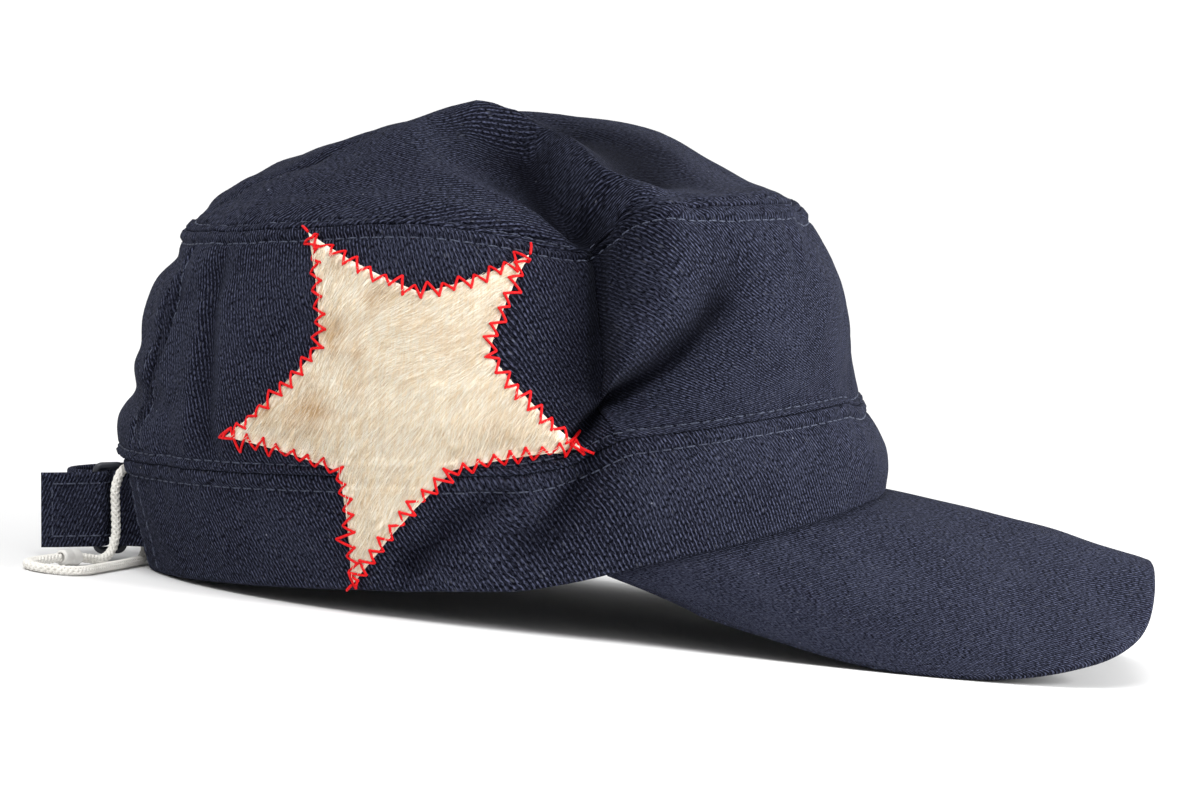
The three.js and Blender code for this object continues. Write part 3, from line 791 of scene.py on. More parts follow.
@dataclass(frozen=True)
class Twill(Finish):
    """Washed navy cotton twill, with ribs across the first direction of the cloth's own map."""

    name: str = "navy_twill"
    rib_pitch: float = 0.9
    # groove is the colour between the ribs and also the colour of the painted shade in creases.
    groove: Colour = (0.0012, 0.0013, 0.0032, 1.0)
    rib: Colour = (0.094, 0.104, 0.172, 1.0)
    worn: Colour = (0.047, 0.052, 0.083, 1.0)
    lint: Colour = (0.20, 0.21, 0.26, 1.0)
    sheen: Colour = (0.62, 0.68, 0.9, 1.0)
    roughness: float = 0.9
    depth: float = 0.24
    rib_waver: float = 0.9
    thread_scale: Triple = (2.2, 0.62, 1.0)
    thread_noise: float = 1.7
    thread_range: Pair = (0.36, 0.70)
    rib_range: Pair = (0.40, 0.98)
    wear_noise: float = 0.045
    wear_range: Pair = (0.42, 0.68)
    bare_thread: float = 0.15
    worn_share: float = 0.5
    fleck_share: float = 0.22
    # Scale of the specks' cells, distances at which a speck ends and is whole, draws that show it
    flecks: tuple[float, Pair, Pair] = (0.55, (0.3, 0.08), (0.5, 0.8))
    dust: tuple[float, Pair, Pair] = (0.16, (0.05, 0.02), (0.62, 0.66))

    def coat(self, board: NodeBoard) -> dict:
        """Build ribs, threads, worn patches, lint and the painted shade of the creases.

        Args:
            board: The material's nodes.

        Returns:
            The shader's inputs by name.
        """
        uv = board.out("ShaderNodeUVMap", uv_map=CLOTH_UV)
        cloth = board.mapped(uv, (1 / UV_PER_MM,) * 3)
        wave = {"Vector": cloth, "Scale": math.pi / 10.0 / self.rib_pitch, "Distortion": self.rib_waver}
        wave |= {"Detail": 2.0, "Detail Scale": 0.5}
        bands = {"wave_type": "BANDS", "bands_direction": "X", "wave_profile": "SIN"}
        ribs = board.add("ShaderNodeTexWave", wave, **bands).outputs["Fac"]
        threads_map = board.mapped(cloth, self.thread_scale)
        threads = board.noise(threads_map, self.thread_noise, 3.0)
        thread_share = board.ramp(threads, *self.thread_range)
        rib_share = board.math("MULTIPLY", board.ramp(ribs, *self.rib_range), thread_share)
        bare = board.math("MULTIPLY", thread_share, self.bare_thread)
        lifted = board.math("MULTIPLY_ADD", rib_share, 1.0 - self.bare_thread, bare)
        ribbed = board.mix(lifted, self.groove, self.rib)
        patches = board.ramp(board.noise(cloth, self.wear_noise, 4.0), *self.wear_range)
        wear = board.math("MULTIPLY", patches, self.worn_share)
        washed = board.mix(board.math("MULTIPLY", wear, thread_share), ribbed, self.worn)
        flecks = board.specks(threads_map, *self.flecks)
        washed = board.mix(board.math("MULTIPLY", flecks, self.fleck_share), washed, self.lint)
        dusty = board.mix(board.specks(cloth, *self.dust), washed, self.lint)
        return {
            # Painted shade: the creases take the colour between the ribs, by the kept share of painted shade.
            "Base Color": board.mix(board.kept(PAINTED_SHADE), dusty, self.groove),
            "Roughness": self.roughness,
            "Specular IOR Level": 0.04,
            "Sheen Weight": 0.02,
            "Sheen Roughness": 0.5,
            "Sheen Tint": self.sheen,
            "Normal": self.bump(board, board.math("MULTIPLY_ADD", ribs, 0.7, threads), self.depth, 0.75),
        }


@dataclass(frozen=True)
class Hide(Finish):
    """Cream hair-on hide with tan mottling. Strands of hair differ by their own tint."""

    name: str = "calf_hide"
    cream: Colour = (0.94, 0.82, 0.62, 1.0)
    pale: Colour = (0.99, 0.95, 0.84, 1.0)
    tan: Colour = (0.56, 0.35, 0.16, 1.0)
    strands: bool = False
    streak_deg: float = 32.0
    streak_scale: Triple = (9.0, 1.0, 1.0)
    streak_noise: float = 240.0
    mottle_noise: float = 55.0
    blotch_share: float = 0.8
    mottle_share: float = 0.2
    tan_strands: float = 0.42
    pale_strands: float = 0.5

    def coat(self, board: NodeBoard) -> dict:
        """Build mottling and hair streaks.

        Args:
            board: The material's nodes.

        Returns:
            The shader's inputs by name.
        """
        place = board.place()
        streaks_map = board.mapped(place, self.streak_scale, (0.0, math.radians(self.streak_deg), 0.0))
        streaks = board.noise(streaks_map, self.streak_noise, 4.0)
        broad = board.ramp(board.noise(place, self.mottle_noise, 4.0, 0.8), 0.2, 0.8)
        mottle = board.math("MULTIPLY_ADD", streaks, 0.5, broad)
        faint = board.math("MULTIPLY", board.ramp(mottle, 0.75, 1.2), self.mottle_share)
        blotched = board.math("MULTIPLY", mottle, board.kept(BLOTCH))
        tan_share = board.math("MULTIPLY_ADD", blotched, self.blotch_share, faint)
        base = board.mix(board.ramp(streaks, 0.3, 0.7), self.cream, self.pale)
        colour = board.mix(tan_share, base, self.tan)
        if self.strands:
            tint = board.kept(TINT)
            shade = board.math("MULTIPLY", board.ramp(tint, 0.0, 1.0, "LINEAR"), self.tan_strands)
            bright = board.math("MULTIPLY", board.ramp(tint, 0.55, 0.0), self.pale_strands)
            colour = board.mix(bright, board.mix(shade, colour, self.tan), self.pale)
        normal = self.bump(board, streaks, 0.25, 0.6)
        return {"Base Color": colour, "Roughness": 0.55, "Specular IOR Level": 0.35, "Normal": normal}


@dataclass(frozen=True)
class Thread(Finish):
    """Twisted sewing thread."""

    name: str
    light: Colour
    dark: Colour
    roughness: float = 0.6
    twist_noise: float = 1900.0

    def coat(self, board: NodeBoard) -> dict:
        """Build the twist of the thread.

        Args:
            board: The material's nodes.

        Returns:
            The shader's inputs by name.
        """
        twist = board.noise(board.place(), self.twist_noise, 2.0)
        colour = board.mix(board.ramp(twist, 0.35, 0.65), self.dark, self.light)
        gloss = {"Roughness": self.roughness, "Specular IOR Level": 0.15}
        return {"Base Color": colour, **gloss, "Normal": self.bump(board, twist, 0.08, 0.6)}


@dataclass(frozen=True)
class CordYarn(Finish):
    """White braided yarn, a little soiled between its strands."""

    name: str = "white_braid"
    yarn: Colour = (0.86, 0.84, 0.79, 1.0)
    soiled: Colour = (0.66, 0.63, 0.57, 1.0)
    soil_share: float = 0.55
    soil_noise: float = 150.0
    fibre_noise: float = 2400.0

    def coat(self, board: NodeBoard) -> dict:
        """Build fibres and light soiling.

        Args:
            board: The material's nodes.

        Returns:
            The shader's inputs by name.
        """
        place = board.place()
        fibres = board.noise(place, self.fibre_noise, 3.0)
        patches = board.ramp(board.noise(place, self.soil_noise, 3.0), 0.5, 0.8)
        soil = board.math("MULTIPLY", patches, self.soil_share)
        shaded = board.math("MULTIPLY_ADD", board.ramp(fibres, 0.65, 0.3), 0.25, soil)
        colour = board.mix(shaded, self.yarn, self.soiled)
        normal = self.bump(board, fibres, 0.1, 0.5)
        return {"Base Color": colour, "Roughness": 0.75, "Sheen Weight": 0.15, "Normal": normal}


@dataclass(frozen=True)
class Moulded(Finish):
    """Moulded plastic with a faint uneven skin."""

    name: str
    colour: Colour
    shade: Colour
    roughness: float
    skin_noise: float = 420.0

    def coat(self, board: NodeBoard) -> dict:
        """Build the faint unevenness.

        Args:
            board: The material's nodes.

        Returns:
            The shader's inputs by name.
        """
        skin = board.noise(board.place(), self.skin_noise, 3.0)
        worn = board.math("MULTIPLY", board.ramp(skin, 0.4, 0.75), 0.5)
        colour = board.mix(worn, self.colour, self.shade)
        rough = board.math("MULTIPLY_ADD", skin, 0.2, self.roughness - 0.1)
        return {"Base Color": colour, "Roughness": rough, "Normal": self.bump(board, skin, 0.05, 0.4)}


@dataclass(frozen=True)
class Paint(Finish):
    """Dull even paint."""

    name: str
    colour: Colour

    def coat(self, board: NodeBoard) -> dict:
        """Give the even colour."""
        return {"Base Color": self.colour, "Roughness": 0.9, "Specular IOR Level": 0.1}


NAVY_TWILL = Twill()
CALF_HIDE = Hide()
CALF_HAIR = Hide(name="calf_hair", strands=True)
NAVY_THREAD = Thread("navy_thread", (0.098, 0.112, 0.16, 1.0), (0.034, 0.038, 0.062, 1.0))
RED_THREAD = Thread("red_thread", (0.84, 0.010, 0.012, 1.0), (0.60, 0.004, 0.008, 1.0), 0.5)
WHITE_BRAID = CordYarn()
WHITE_PLASTIC = Moulded("white_plastic", (0.74, 0.73, 0.70, 1.0), (0.68, 0.66, 0.62, 1.0), 0.38)
DARK_PLASTIC = Moulded("dark_plastic", (0.014, 0.016, 0.024, 1.0), (0.03, 0.034, 0.046, 1.0), 0.45)
PALE_FLOOR = Paint("pale_floor", (0.8, 0.8, 0.8, 1.0))


def add_object(name: str, data: bpy.types.ID) -> Object:
    """Put an object into the scene, at the origin.

    Args:
        name: Name of the object.
        data: Its mesh, light or camera.

    Returns:
        The new object.
    """
    made = bpy.data.objects.new(name, data)
    bpy.context.scene.collection.objects.link(made)
    return made


def keep_values(mesh: bpy.types.Mesh, values: dict[str, Points]) -> None:
    """Keep values at a mesh's points.

    Args:
        mesh: The mesh.
        values: A number or a vector for each point, by attribute name.
    """
    for name, value in values.items():
        kind, key = ("FLOAT_VECTOR", "vector") if value.ndim > 1 else ("FLOAT", "value")
        layer = mesh.attributes.new(name, kind, "POINT")
        layer.data.foreach_set(key, value.astype(np.float32).ravel())


def put_mesh(
    name: str,
    points: Points,
    faces: list[list[int]],
    finish: Finish | None = None,
    uv: Points | None = None,
) -> Object:
    """Make a smooth mesh object at the origin.

    Args:
        name: Name of the object.
        points: Points in metres.
        faces: Corners of each face.
        finish: Finish of the whole mesh.
        uv: Place of each point on the cloth's own map, in millimetres.

    Returns:
        The new object.
    """
    mesh = bpy.data.meshes.new(name)
    mesh.from_pydata(points.tolist(), [], faces)
    mesh.shade_smooth()
    if uv is not None:
        corners = np.empty(len(mesh.loops), dtype=np.int32)
        mesh.loops.foreach_get("vertex_index", corners)
        layer = mesh.uv_layers.new(name=CLOTH_UV)
        layer.uv.foreach_set("vector", (uv[corners] * UV_PER_MM).astype(np.float32).ravel())
    if finish:
        mesh.materials.append(finish.material())
    return add_object(name, mesh)


def wall_faces(rows: int, columns: int, dome: bool) -> tuple[list[list[int]], Points]:
    """Faces of a closed wall between an outer and an inner grid, numbered one after the other.

    Args:
        rows: Rows of each grid.
        columns: Columns of each grid.
        dome: Whether the last column meets the first and the last row is drawn together into one point.

    Returns:
        Corners of each face, pointing outwards, and the grid points that they use.
    """
    ids = np.arange(2 * rows * columns).reshape(2, rows, columns)
    if dome:
        ids[:, -1, :] = ids[:, -1, :1]
        ids = np.concatenate([ids, ids[:, :, :1]], axis=2)
    used = np.unique(ids)
    outer, inner = np.searchsorted(used, ids)

    def quads(a: Points, b: Points, c: Points, d: Points) -> Points:
        """Join four grids of corners into rows of quads."""
        return np.stack([a, b, c, d], axis=-1).reshape(-1, 4)

    parts = [
        quads(outer[:-1, :-1], outer[:-1, 1:], outer[1:, 1:], outer[1:, :-1]),
        quads(inner[:-1, :-1], inner[1:, :-1], inner[1:, 1:], inner[:-1, 1:]),
        quads(inner[0, :-1], inner[0, 1:], outer[0, 1:], outer[0, :-1]),
    ]
    if not dome:
        parts += [
            quads(outer[-1, :-1], outer[-1, 1:], inner[-1, 1:], inner[-1, :-1]),
            quads(inner[:-1, 0], outer[:-1, 0], outer[1:, 0], inner[1:, 0]),
            quads(outer[:-1, -1], inner[:-1, -1], inner[1:, -1], outer[1:, -1]),
        ]
    faces = np.concatenate(parts).tolist()
    return [list(dict.fromkeys(face)) for face in faces] if dome else faces, used


def put_wall(
    name: str,
    sides: tuple[Points, Points],
    finish: Finish,
    uv: Points | None = None,
    values: dict[str, Points] | None = None,
    pressed: bool = False,
    dome: bool = False,
) -> Object:
    """Make a closed wall of cloth or hide between two grids of points.

    Args:
        name: Name of the object.
        sides: Outer and inner grid of points, in the cap's frame.
        finish: Finish of the wall.
        uv: Place of each grid point on the cloth's own map, in millimetres.
        values: Values to keep at each grid point, by attribute name.
        pressed: Whether cloth that would reach below the floor is pressed flat on it.
        dome: Whether the grids run round and their last row is one point.

    Returns:
        The new object.
    """
    rows, columns = sides[0].shape[:2]
    faces, used = wall_faces(rows, columns, dome)

    def both(outer: Points, inner: Points) -> Points:
        """Values of the outer and the inner grid at the points in use."""
        return np.stack([outer, inner]).reshape(2 * rows * columns, *outer.shape[2:])[used]

    flat_uv = None if uv is None else both(uv, uv)
    made = put_mesh(name, REST.from_cap(both(*sides), pressed), faces, finish, flat_uv)
    keep_values(made.data, {label: both(value, value) for label, value in (values or {}).items()})
    return made


def edge_drop(distance: Points, radius: float) -> Points:
    """How far a wall's face falls back at a distance from its rounded edge."""
    short = np.clip(radius - distance, 0.0, radius * 0.985)
    return radius - np.sqrt(radius**2 - short**2)


def hand_over(piece: Object, slot: Slot, *nodes: str) -> Object:
    """Ride a finished piece on the cap and report it.

    Args:
        piece: The finished piece.
        slot: Material slot of the record. Not used.
        nodes: Nodes of the frame that it stands for.

    Returns:
        The piece.
    """
    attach(piece, BODY)
    if nodes:
        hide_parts(*nodes)
    stands_for = ", ".join(nodes) or "no node"
    LOG.info("%s: %d faces, stands for %s", piece.name, len(piece.data.polygons), stands_for)
    return piece


class GrownTree:
    """A geometry tree with named inputs, which turns a plain mesh into a finished one."""

    def __init__(self, name: str, sizes: dict[str, float]) -> None:
        """Start the tree with its inputs.

        Args:
            name: Name of the tree.
            sizes: Sizes in metres or plain numbers by input name. A whole number makes a whole input.
        """
        self.tree = bpy.data.node_groups.new(name, "GeometryNodeTree")
        kinds = {"Geometry": "Geometry"}
        kinds |= {label: "Int" if isinstance(value, int) else "Float" for label, value in sizes.items()}
        for label, kind in {**kinds, "Finish": "Material"}.items():
            self.tree.interface.new_socket(label, in_out="INPUT", socket_type=f"NodeSocket{kind}")
        self.tree.interface.new_socket("Geometry", in_out="OUTPUT", socket_type="NodeSocketGeometry")
        self.sizes = sizes
        self.board = NodeBoard(self.tree)
        self.given = self.board.add("NodeGroupInput").outputs

    def attribute(self, name: str, kind: str = "FLOAT_VECTOR") -> Socket:
        """Read one of the source mesh's attributes."""
        return self.board.out("GeometryNodeInputNamedAttribute", {"Name": name}, data_type=kind)

    def close(self, geometry: Socket) -> None:
        """End the tree: instances realized, smooth, with its finish.

        Args:
            geometry: The last geometry.
        """
        real = self.board.out("GeometryNodeRealizeInstances", {0: geometry})
        smooth = self.board.out("GeometryNodeSetShadeSmooth", {0: real})
        done = self.board.out("GeometryNodeSetMaterial", {0: smooth, "Material": self.given["Finish"]})
        self.board.add("NodeGroupOutput", {0: done})

    def grow(self, source: Object, finish: Finish) -> Object:
        """Replace a source object's mesh by what the tree makes of it.

        Args:
            source: Object with the source mesh.
            finish: Finish of the result.

        Returns:
            The same object with a plain mesh.
        """
        modifier = source.modifiers.new(self.tree.name, "NODES")
        modifier.node_group = self.tree
        values = {**self.sizes, "Finish": finish.material()}
        for item in self.tree.interface.items_tree:
            if item.in_out == "INPUT" and item.name in values:
                modifier[item.identifier] = values[item.name]
        graph = bpy.context.evaluated_depsgraph_get()
        made = bpy.data.meshes.new_from_object(source.evaluated_get(graph))
        source.modifiers.remove(modifier)
        old = source.data
        source.data = made
        bpy.data.meshes.remove(old)
        made.name = source.name
        return source


def stitch_tree(name: str, thickness: float, rise: float) -> GrownTree:
    """Tree that lays a bowed stitch at each point, along its way and over its up direction.

    Args:
        name: Name of the tree.
        thickness: Thickness of the thread.
        rise: Height of the bow.

    Returns:
        The tree.
    """
    grown = GrownTree(name, {"Thickness": thickness * MM, "Rise": rise * MM})
    board, given = grown.board, grown.given
    sunk = board.math("MULTIPLY", given["Thickness"], -0.45)
    ends = {"Start": board.vector(-0.5, 0.0, sunk), "End": board.vector(0.5, 0.0, sunk)}
    middle = board.vector(0.0, 0.0, given["Rise"])
    bow = board.out("GeometryNodeCurveQuadraticBezier", {"Resolution": 6, **ends, "Middle": middle})
    thread = board.sweep(bow, board.math("MULTIPLY", given["Thickness"], 0.5), 6)
    turn_inputs = {0: grown.attribute("way"), 1: grown.attribute("up")}
    turn = board.out("FunctionNodeAxesToRotation", turn_inputs, primary_axis="X", secondary_axis="Z")
    scale = board.vector(grown.attribute("reach", "FLOAT"), 1.0, 1.0)
    laid = {"Points": given["Geometry"], "Instance": thread, "Rotation": turn, "Scale": scale}
    grown.close(board.out("GeometryNodeInstanceOnPoints", laid))
    return grown


def tube_tree(name: str, radius: float, sides: int) -> GrownTree:
    """Tree that runs a round tube along every line of a mesh.

    Args:
        name: Name of the tree.
        radius: Radius of the tube.
        sides: Sides of the tube.

    Returns:
        The tree.
    """
    grown = GrownTree(name, {"Radius": radius * MM, "Sides": sides})
    line = grown.board.out("GeometryNodeMeshToCurve", {0: grown.given["Geometry"]})
    grown.close(grown.board.sweep(line, grown.given["Radius"], grown.given["Sides"]))
    return grown


def hair_tree(name: str, length: float, thickness: float, per_mm2: float, seed: int) -> GrownTree:
    """Tree that grows short combed hairs over a mesh's faces.

    Args:
        name: Name of the tree.
        length: Length of a hair.
        thickness: Thickness of a hair at its root.
        per_mm2: Hairs in a square millimetre.
        seed: Number that fixes their places.

    Returns:
        The tree.
    """
    sizes = {"Length": length * MM, "Thickness": thickness * MM, "Density": per_mm2 / MM**2, "Seed": seed}
    grown = GrownTree(name, sizes)
    board, given = grown.board, grown.given
    spread_inputs = {"Mesh": given["Geometry"], "Density": given["Density"], "Seed": given["Seed"]}
    roots = board.add("GeometryNodeDistributePointsOnFaces", spread_inputs, distribute_method="RANDOM")
    half, lift, tip = (board.math("MULTIPLY", given["Length"], share) for share in (0.45, 0.08, 0.02))
    bends = {"Start": (0.0, 0.0, 0.0), "Middle": board.vector(half, 0.0, lift)}
    bends["End"] = board.vector(given["Length"], 0.0, tip)
    bow = board.out("GeometryNodeCurveQuadraticBezier", {"Resolution": 2, **bends})
    share = board.add("GeometryNodeSplineParameter").outputs["Factor"]
    taper = board.math("SUBTRACT", 1.0, board.math("MULTIPLY", share, 0.8))
    hair = board.sweep(bow, board.math("MULTIPLY", given["Thickness"], 0.5), 3, Scale=taper)
    turn_inputs = {0: roots.outputs["Normal"], 1: grown.attribute("comb")}
    combed = board.out("FunctionNodeAxesToRotation", turn_inputs, primary_axis="Z", secondary_axis="X")
    swayed = board.vector(z=board.draw(-0.2, 0.2, given["Seed"]))
    sway = board.out("FunctionNodeEulerToRotation", {0: swayed})
    turn = board.out("FunctionNodeRotateRotation", {0: combed, 1: sway}, rotation_space="LOCAL")
    long = board.draw(0.6, 1.0, board.math("ADD", given["Seed"], 1.0))
    room = board.math("MULTIPLY", long, grown.attribute("room", "FLOAT"))
    size = board.vector(room, 1.0, room)
    laid = {"Points": roots.outputs["Points"], "Instance": hair, "Rotation": turn, "Scale": size}
    hairs = board.out("GeometryNodeInstanceOnPoints", laid)
    tint = board.draw(0.0, 1.0, board.math("ADD", given["Seed"], 2.0))
    kept = {"Geometry": hairs, "Name": TINT, "Value": tint}
    grown.close(board.out("GeometryNodeStoreNamedAttribute", kept, data_type="FLOAT", domain="INSTANCE"))
    return grown


def line_object(name: str, lines: list[Points], closed: bool = False) -> Object:
    """Make an object of bare lines, the source of a tube.

    Args:
        name: Name of the object.
        lines: Points of each line in metres.
        closed: Whether each line meets its own start.

    Returns:
        The new object.
    """
    edges = []
    base = 0
    for line in lines:
        edges += [(base + i, base + i + 1) for i in range(len(line) - 1)]
        if closed:
            edges.append((base + len(line) - 1, base))
        base += len(line)
    mesh = bpy.data.meshes.new(name)
    mesh.from_pydata(np.concatenate(lines).tolist(), edges, [])
    return add_object(name, mesh)


@dataclass
class Stitches:
    """Stitches of one kind: the middle of each, its direction, the way up and its length, in metres."""

    middle: Points
    way: Points
    up: Points
    reach: Points

    def sew(self, name: str, tree: GrownTree, finish: Finish) -> Object:
        """Sew them.

        Args:
            name: Name of the piece.
            tree: Stitch tree.
            finish: Finish of the thread.

        Returns:
            The piece.
        """
        source = put_mesh(name, self.middle, [])
        keep_values(source.data, {"way": self.way, "up": self.up, "reach": self.reach})
        return tree.grow(source, finish)


def joined(name: str, pieces: list[Object]) -> Object:
    """Join several mesh objects into one.

    Args:
        name: Name of the joined object.
        pieces: The objects, the first of which stays.

    Returns:
        The joined object.
    """
    with bpy.context.temp_override(active_object=pieces[0], selected_editable_objects=pieces):
        bpy.ops.object.join()
    pieces[0].name = name
    pieces[0].data.name = name
    return pieces[0]


def spline(route: Points, count: int) -> Points:
    """Points at even distances on a smooth curve through a route, which turns as a centripetal spline does.

    Args:
        route: Points that the curve goes through.
        count: Number of points to give.

    Returns:
        Points on the curve.
    """
    padded = np.vstack([2 * route[0] - route[1], route, 2 * route[-1] - route[-2]])
    t = np.linspace(0.0, 1.0, 40, endpoint=False)[:, None]
    dense = []
    for p0, p1, p2, p3 in zip(padded[:-3], padded[1:-2], padded[2:-1], padded[3:]):
        d0, d1, d2 = (np.linalg.norm(b - a) ** 0.5 for a, b in ((p0, p1), (p1, p2), (p2, p3)))
        slope1 = ((p1 - p0) / d0 - (p2 - p0) / (d0 + d1) + (p2 - p1) / d1) * d1
        slope2 = ((p2 - p1) / d1 - (p3 - p1) / (d1 + d2) + (p3 - p2) / d2) * d1
        c2 = -3 * p1 + 3 * p2 - 2 * slope1 - slope2
        c3 = 2 * p1 - 2 * p2 + slope1 + slope2
        dense.append(p1 + slope1 * t + c2 * t**2 + c3 * t**3)
    line = np.vstack([*dense, route[-1:]])
    way = way_along(line)
    return points_at(np.linspace(0.0, way[-1], count), way, line)


def spaced(route: Points, step: float, trial: int) -> tuple[Points, float]:
    """Smooth curve through a route with points a step apart.

    Args:
        route: Points that the curve goes through.
        step: Distance between points.
        trial: Number of points from which the length is taken.

    Returns:
        Points on the curve and its length.
    """
    length = float(way_along(spline(route, trial))[-1])
    return spline(route, round(length / step)), length


def turned_map(u: Points, v: Points, rib_deg: float) -> Points:
    """Lay the cloth's own map so that its first direction runs across the ribs.

    Args:
        u: Position to the right on the cloth.
        v: Position upwards on the cloth.
        rib_deg: How far the ribs fall to the right.

    Returns:
        Map positions in millimetres.
    """
    fall = math.radians(rib_deg)
    across = u * math.sin(fall) + v * math.cos(fall)
    down = u * math.cos(fall) - v * math.sin(fall)
    return np.stack([across, down], axis=-1)


@dataclass
class ClothPanel:
    """A panel of the crown or band over a range of angles and levels, with rounded edges."""

    name: str
    angles: Pair
    levels: Pair
    rib_deg: float
    pressed: bool = False
    gap: float = 0.05
    fine: float = 0.27
    coarse: float = 0.95
    edge: float = 2.2

    def build(self) -> None:
        """Build the panel's closed wall."""
        width = (self.angles[1] - self.angles[0]) * MM_PER_DEG
        low, high = cloth_height(np.array(self.levels))
        spacing = (self.fine, self.coarse, (self.edge, self.edge))
        columns = graded(width - 2 * self.gap, *spacing) + self.gap
        rows = graded(high - low - 2 * self.gap, *spacing) + self.gap
        way, height = np.meshgrid(columns, rows)
        sides = np.minimum(way, width - way)
        ends = np.minimum(height, high - low - height)
        drop = edge_drop(np.minimum(sides, ends), CLOTH * EDGE_ROUND)
        angle = self.angles[0] + way / MM_PER_DEG
        level = level_at(low + height)
        walls = FORM.wall(angle, level, drop, FORM.relief(angle, level))
        uv = turned_map(angle * MM_PER_DEG, low + height, self.rib_deg)
        # Painted shade of the creases, kept at each point for the twill.
        painted_shade_values = {PAINTED_SHADE: FORM.painted_shade(angle, level)}
        made = put_wall(f"{self.name}_cloth", walls, NAVY_TWILL, uv, painted_shade_values, pressed=self.pressed)
        hand_over(made, Slot.TWILL, self.name)


@dataclass
class CrownTop:
    """The domed top panel, cut in one piece."""

    columns: int = 470
    gap: float = 0.05
    fine: float = 0.27
    coarse: float = 1.35
    edge: float = 3.0
    rib_deg: float = -8.0

    def build(self) -> None:
        """Build the closed dome."""
        rows = graded(TOP_CLOTH - self.gap, self.fine, self.coarse, (self.edge, 0.0)) + self.gap
        turns = np.linspace(-180.0, 180.0, self.columns, endpoint=False)
        angle, height = np.meshgrid(turns, rows)
        level = TOP_SEAM + height / TOP_CLOTH
        relief = FORM.relief(angle, level)
        relief[-1] = relief[-1].mean()
        walls = FORM.wall(angle, level, edge_drop(height, CLOTH * EDGE_ROUND), relief)
        for side in walls:
            side[-1] = side[-1].mean(axis=0)
        flat = FORM.smooth(angle, level)
        uv = turned_map(flat[..., 0], flat[..., 1], self.rib_deg)
        # Painted shade of the creases, kept at each point for the twill.
        painted_shade_values = {PAINTED_SHADE: FORM.painted_shade(angle, level)}
        made = put_wall("crown_top_cloth", walls, NAVY_TWILL, uv, painted_shade_values, dome=True)
        hand_over(made, Slot.TWILL, "crown_top")


@dataclass
class Peak:
    """The curved cloth-covered peak. Its root follows the band's edge and its outer edge is an oval."""

    thickness: float = 2.8
    root_deg: float = 79.0
    edge_start: float = 21.0
    reach: float = 150.5
    half_width: float = 78.0
    power: float = 3.3
    bow: float = 1.6
    end_share: float = 0.97
    end: float = 0.99
    round: float = 1.3
    tuck: float = 3.0
    tuck_share: float = 0.02
    tuck_rows: int = 4
    spacing: float = 1.1
    rows_length: float = 150.0
    columns_length: float = 300.0
    rim: float = 2.4
    rim_row: float = 0.3
    rim_column: float = 0.35
    hills: float = 0.22
    hill_waves: Pair = (12.0, 60.0)
    calm_rim: float = 6.0
    rib_deg: float = -14.0
    # angle from the front and height of the outer edge
    edge_heights: tuple[Pair, ...] = (
        (-7.5, -6.0),
        (0.0, 0.0),
        (7.5, -6.0),
        (15.0, -12.5),
        (24.0, -16.8),
        (36.0, -20.4),
        (54.0, -23.2),
        (70.0, -21.0),
        (82.0, -12.0),
        (90.0, 1.0),
    )

    def root(self, u: Points, height: float, gap: float) -> Points:
        """Point inside the band, at a height over its edge and a gap from its inner face."""
        level = np.full_like(u, height / BAND_CLOTH)
        return FORM.face(u * self.root_deg, level, np.full_like(u, -CLOTH - gap))

    def upper(self, u: Points, v: Points) -> Points:
        """Point on the upper face.

        Args:
            u: Share from side to side, -1 to 1.
            v: Share from the root to the outer edge.

        Returns:
            Points in the cap's frame.
        """
        root = self.root(u, BAND_EDGE, 0.0)
        root[..., 2] -= PIECE_GAP
        turn = np.abs(u) * 90.0 * self.end_share
        cos = np.cos(np.radians(turn))
        sin = np.sin(np.radians(turn))
        heights = np.array(self.edge_heights)
        x = self.edge_start + self.reach * cos ** (2 / self.power)
        y = np.sign(u) * self.half_width * sin ** (2 / self.power)
        outer = np.stack([x, y, along(heights[:, 0], heights[:, 1], turn)], axis=-1)
        point = root + (outer - root) * np.maximum(v, 0.0)[..., None]
        point[..., 2] += self.bow * 4 * np.maximum(v, 0.0) * (1 - v) * cos
        tucked = self.root(u, self.tuck, PIECE_GAP)
        return point + (tucked - root) * np.clip(-v / self.tuck_share, 0.0, 1.0)[..., None]

    def build(self) -> None:
        """Build the closed peak."""
        shares = graded(self.rows_length, self.rim_row, self.spacing, (0.0, self.rim)) / self.rows_length
        tucked = np.linspace(-self.tuck_share, 0.0, self.tuck_rows, endpoint=False)
        columns = graded(self.columns_length, self.rim_column, self.spacing, (self.rim, self.rim))
        sides = self.end * (2 * columns / self.columns_length - 1)
        u, v = np.meshgrid(sides, np.concatenate([tucked, shares]))
        step = 0.004
        across = self.upper(u + step, v) - self.upper(u - step, v)
        out = self.upper(u, v + step) - self.upper(u, v - step)
        up = unit(np.cross(out, across))
        face = self.upper(u, v)
        rows = np.linalg.norm(np.diff(face, axis=0), axis=2)
        to_rim = np.vstack([np.cumsum(rows[::-1], axis=0)[::-1], np.zeros((1, u.shape[1]))])
        cols = np.linalg.norm(np.diff(face, axis=1), axis=2)
        along_row = np.hstack([np.zeros((u.shape[0], 1)), np.cumsum(cols, axis=1)])
        to_edge = np.minimum(to_rim, np.minimum(along_row, along_row[:, -1:] - along_row))
        drop = edge_drop(to_edge, self.round)
        calm = smooth_step(to_edge / self.calm_rim)
        hills = self.hills * uneven(face[..., 0], face[..., 1], Seed.PEAK_HILLS, self.hill_waves) * calm
        upper = face + up * (hills - drop)[..., None]
        lower = face + up * (drop - self.thickness)[..., None]
        middle = along_row[:, along_row.shape[1] // 2][:, None]
        uv = turned_map(face[..., 0], along_row - middle, self.rib_deg)
        made = put_wall("peak_cloth", (lower, upper), NAVY_TWILL, uv, pressed=True)
        hand_over(made, Slot.TWILL, "peak")


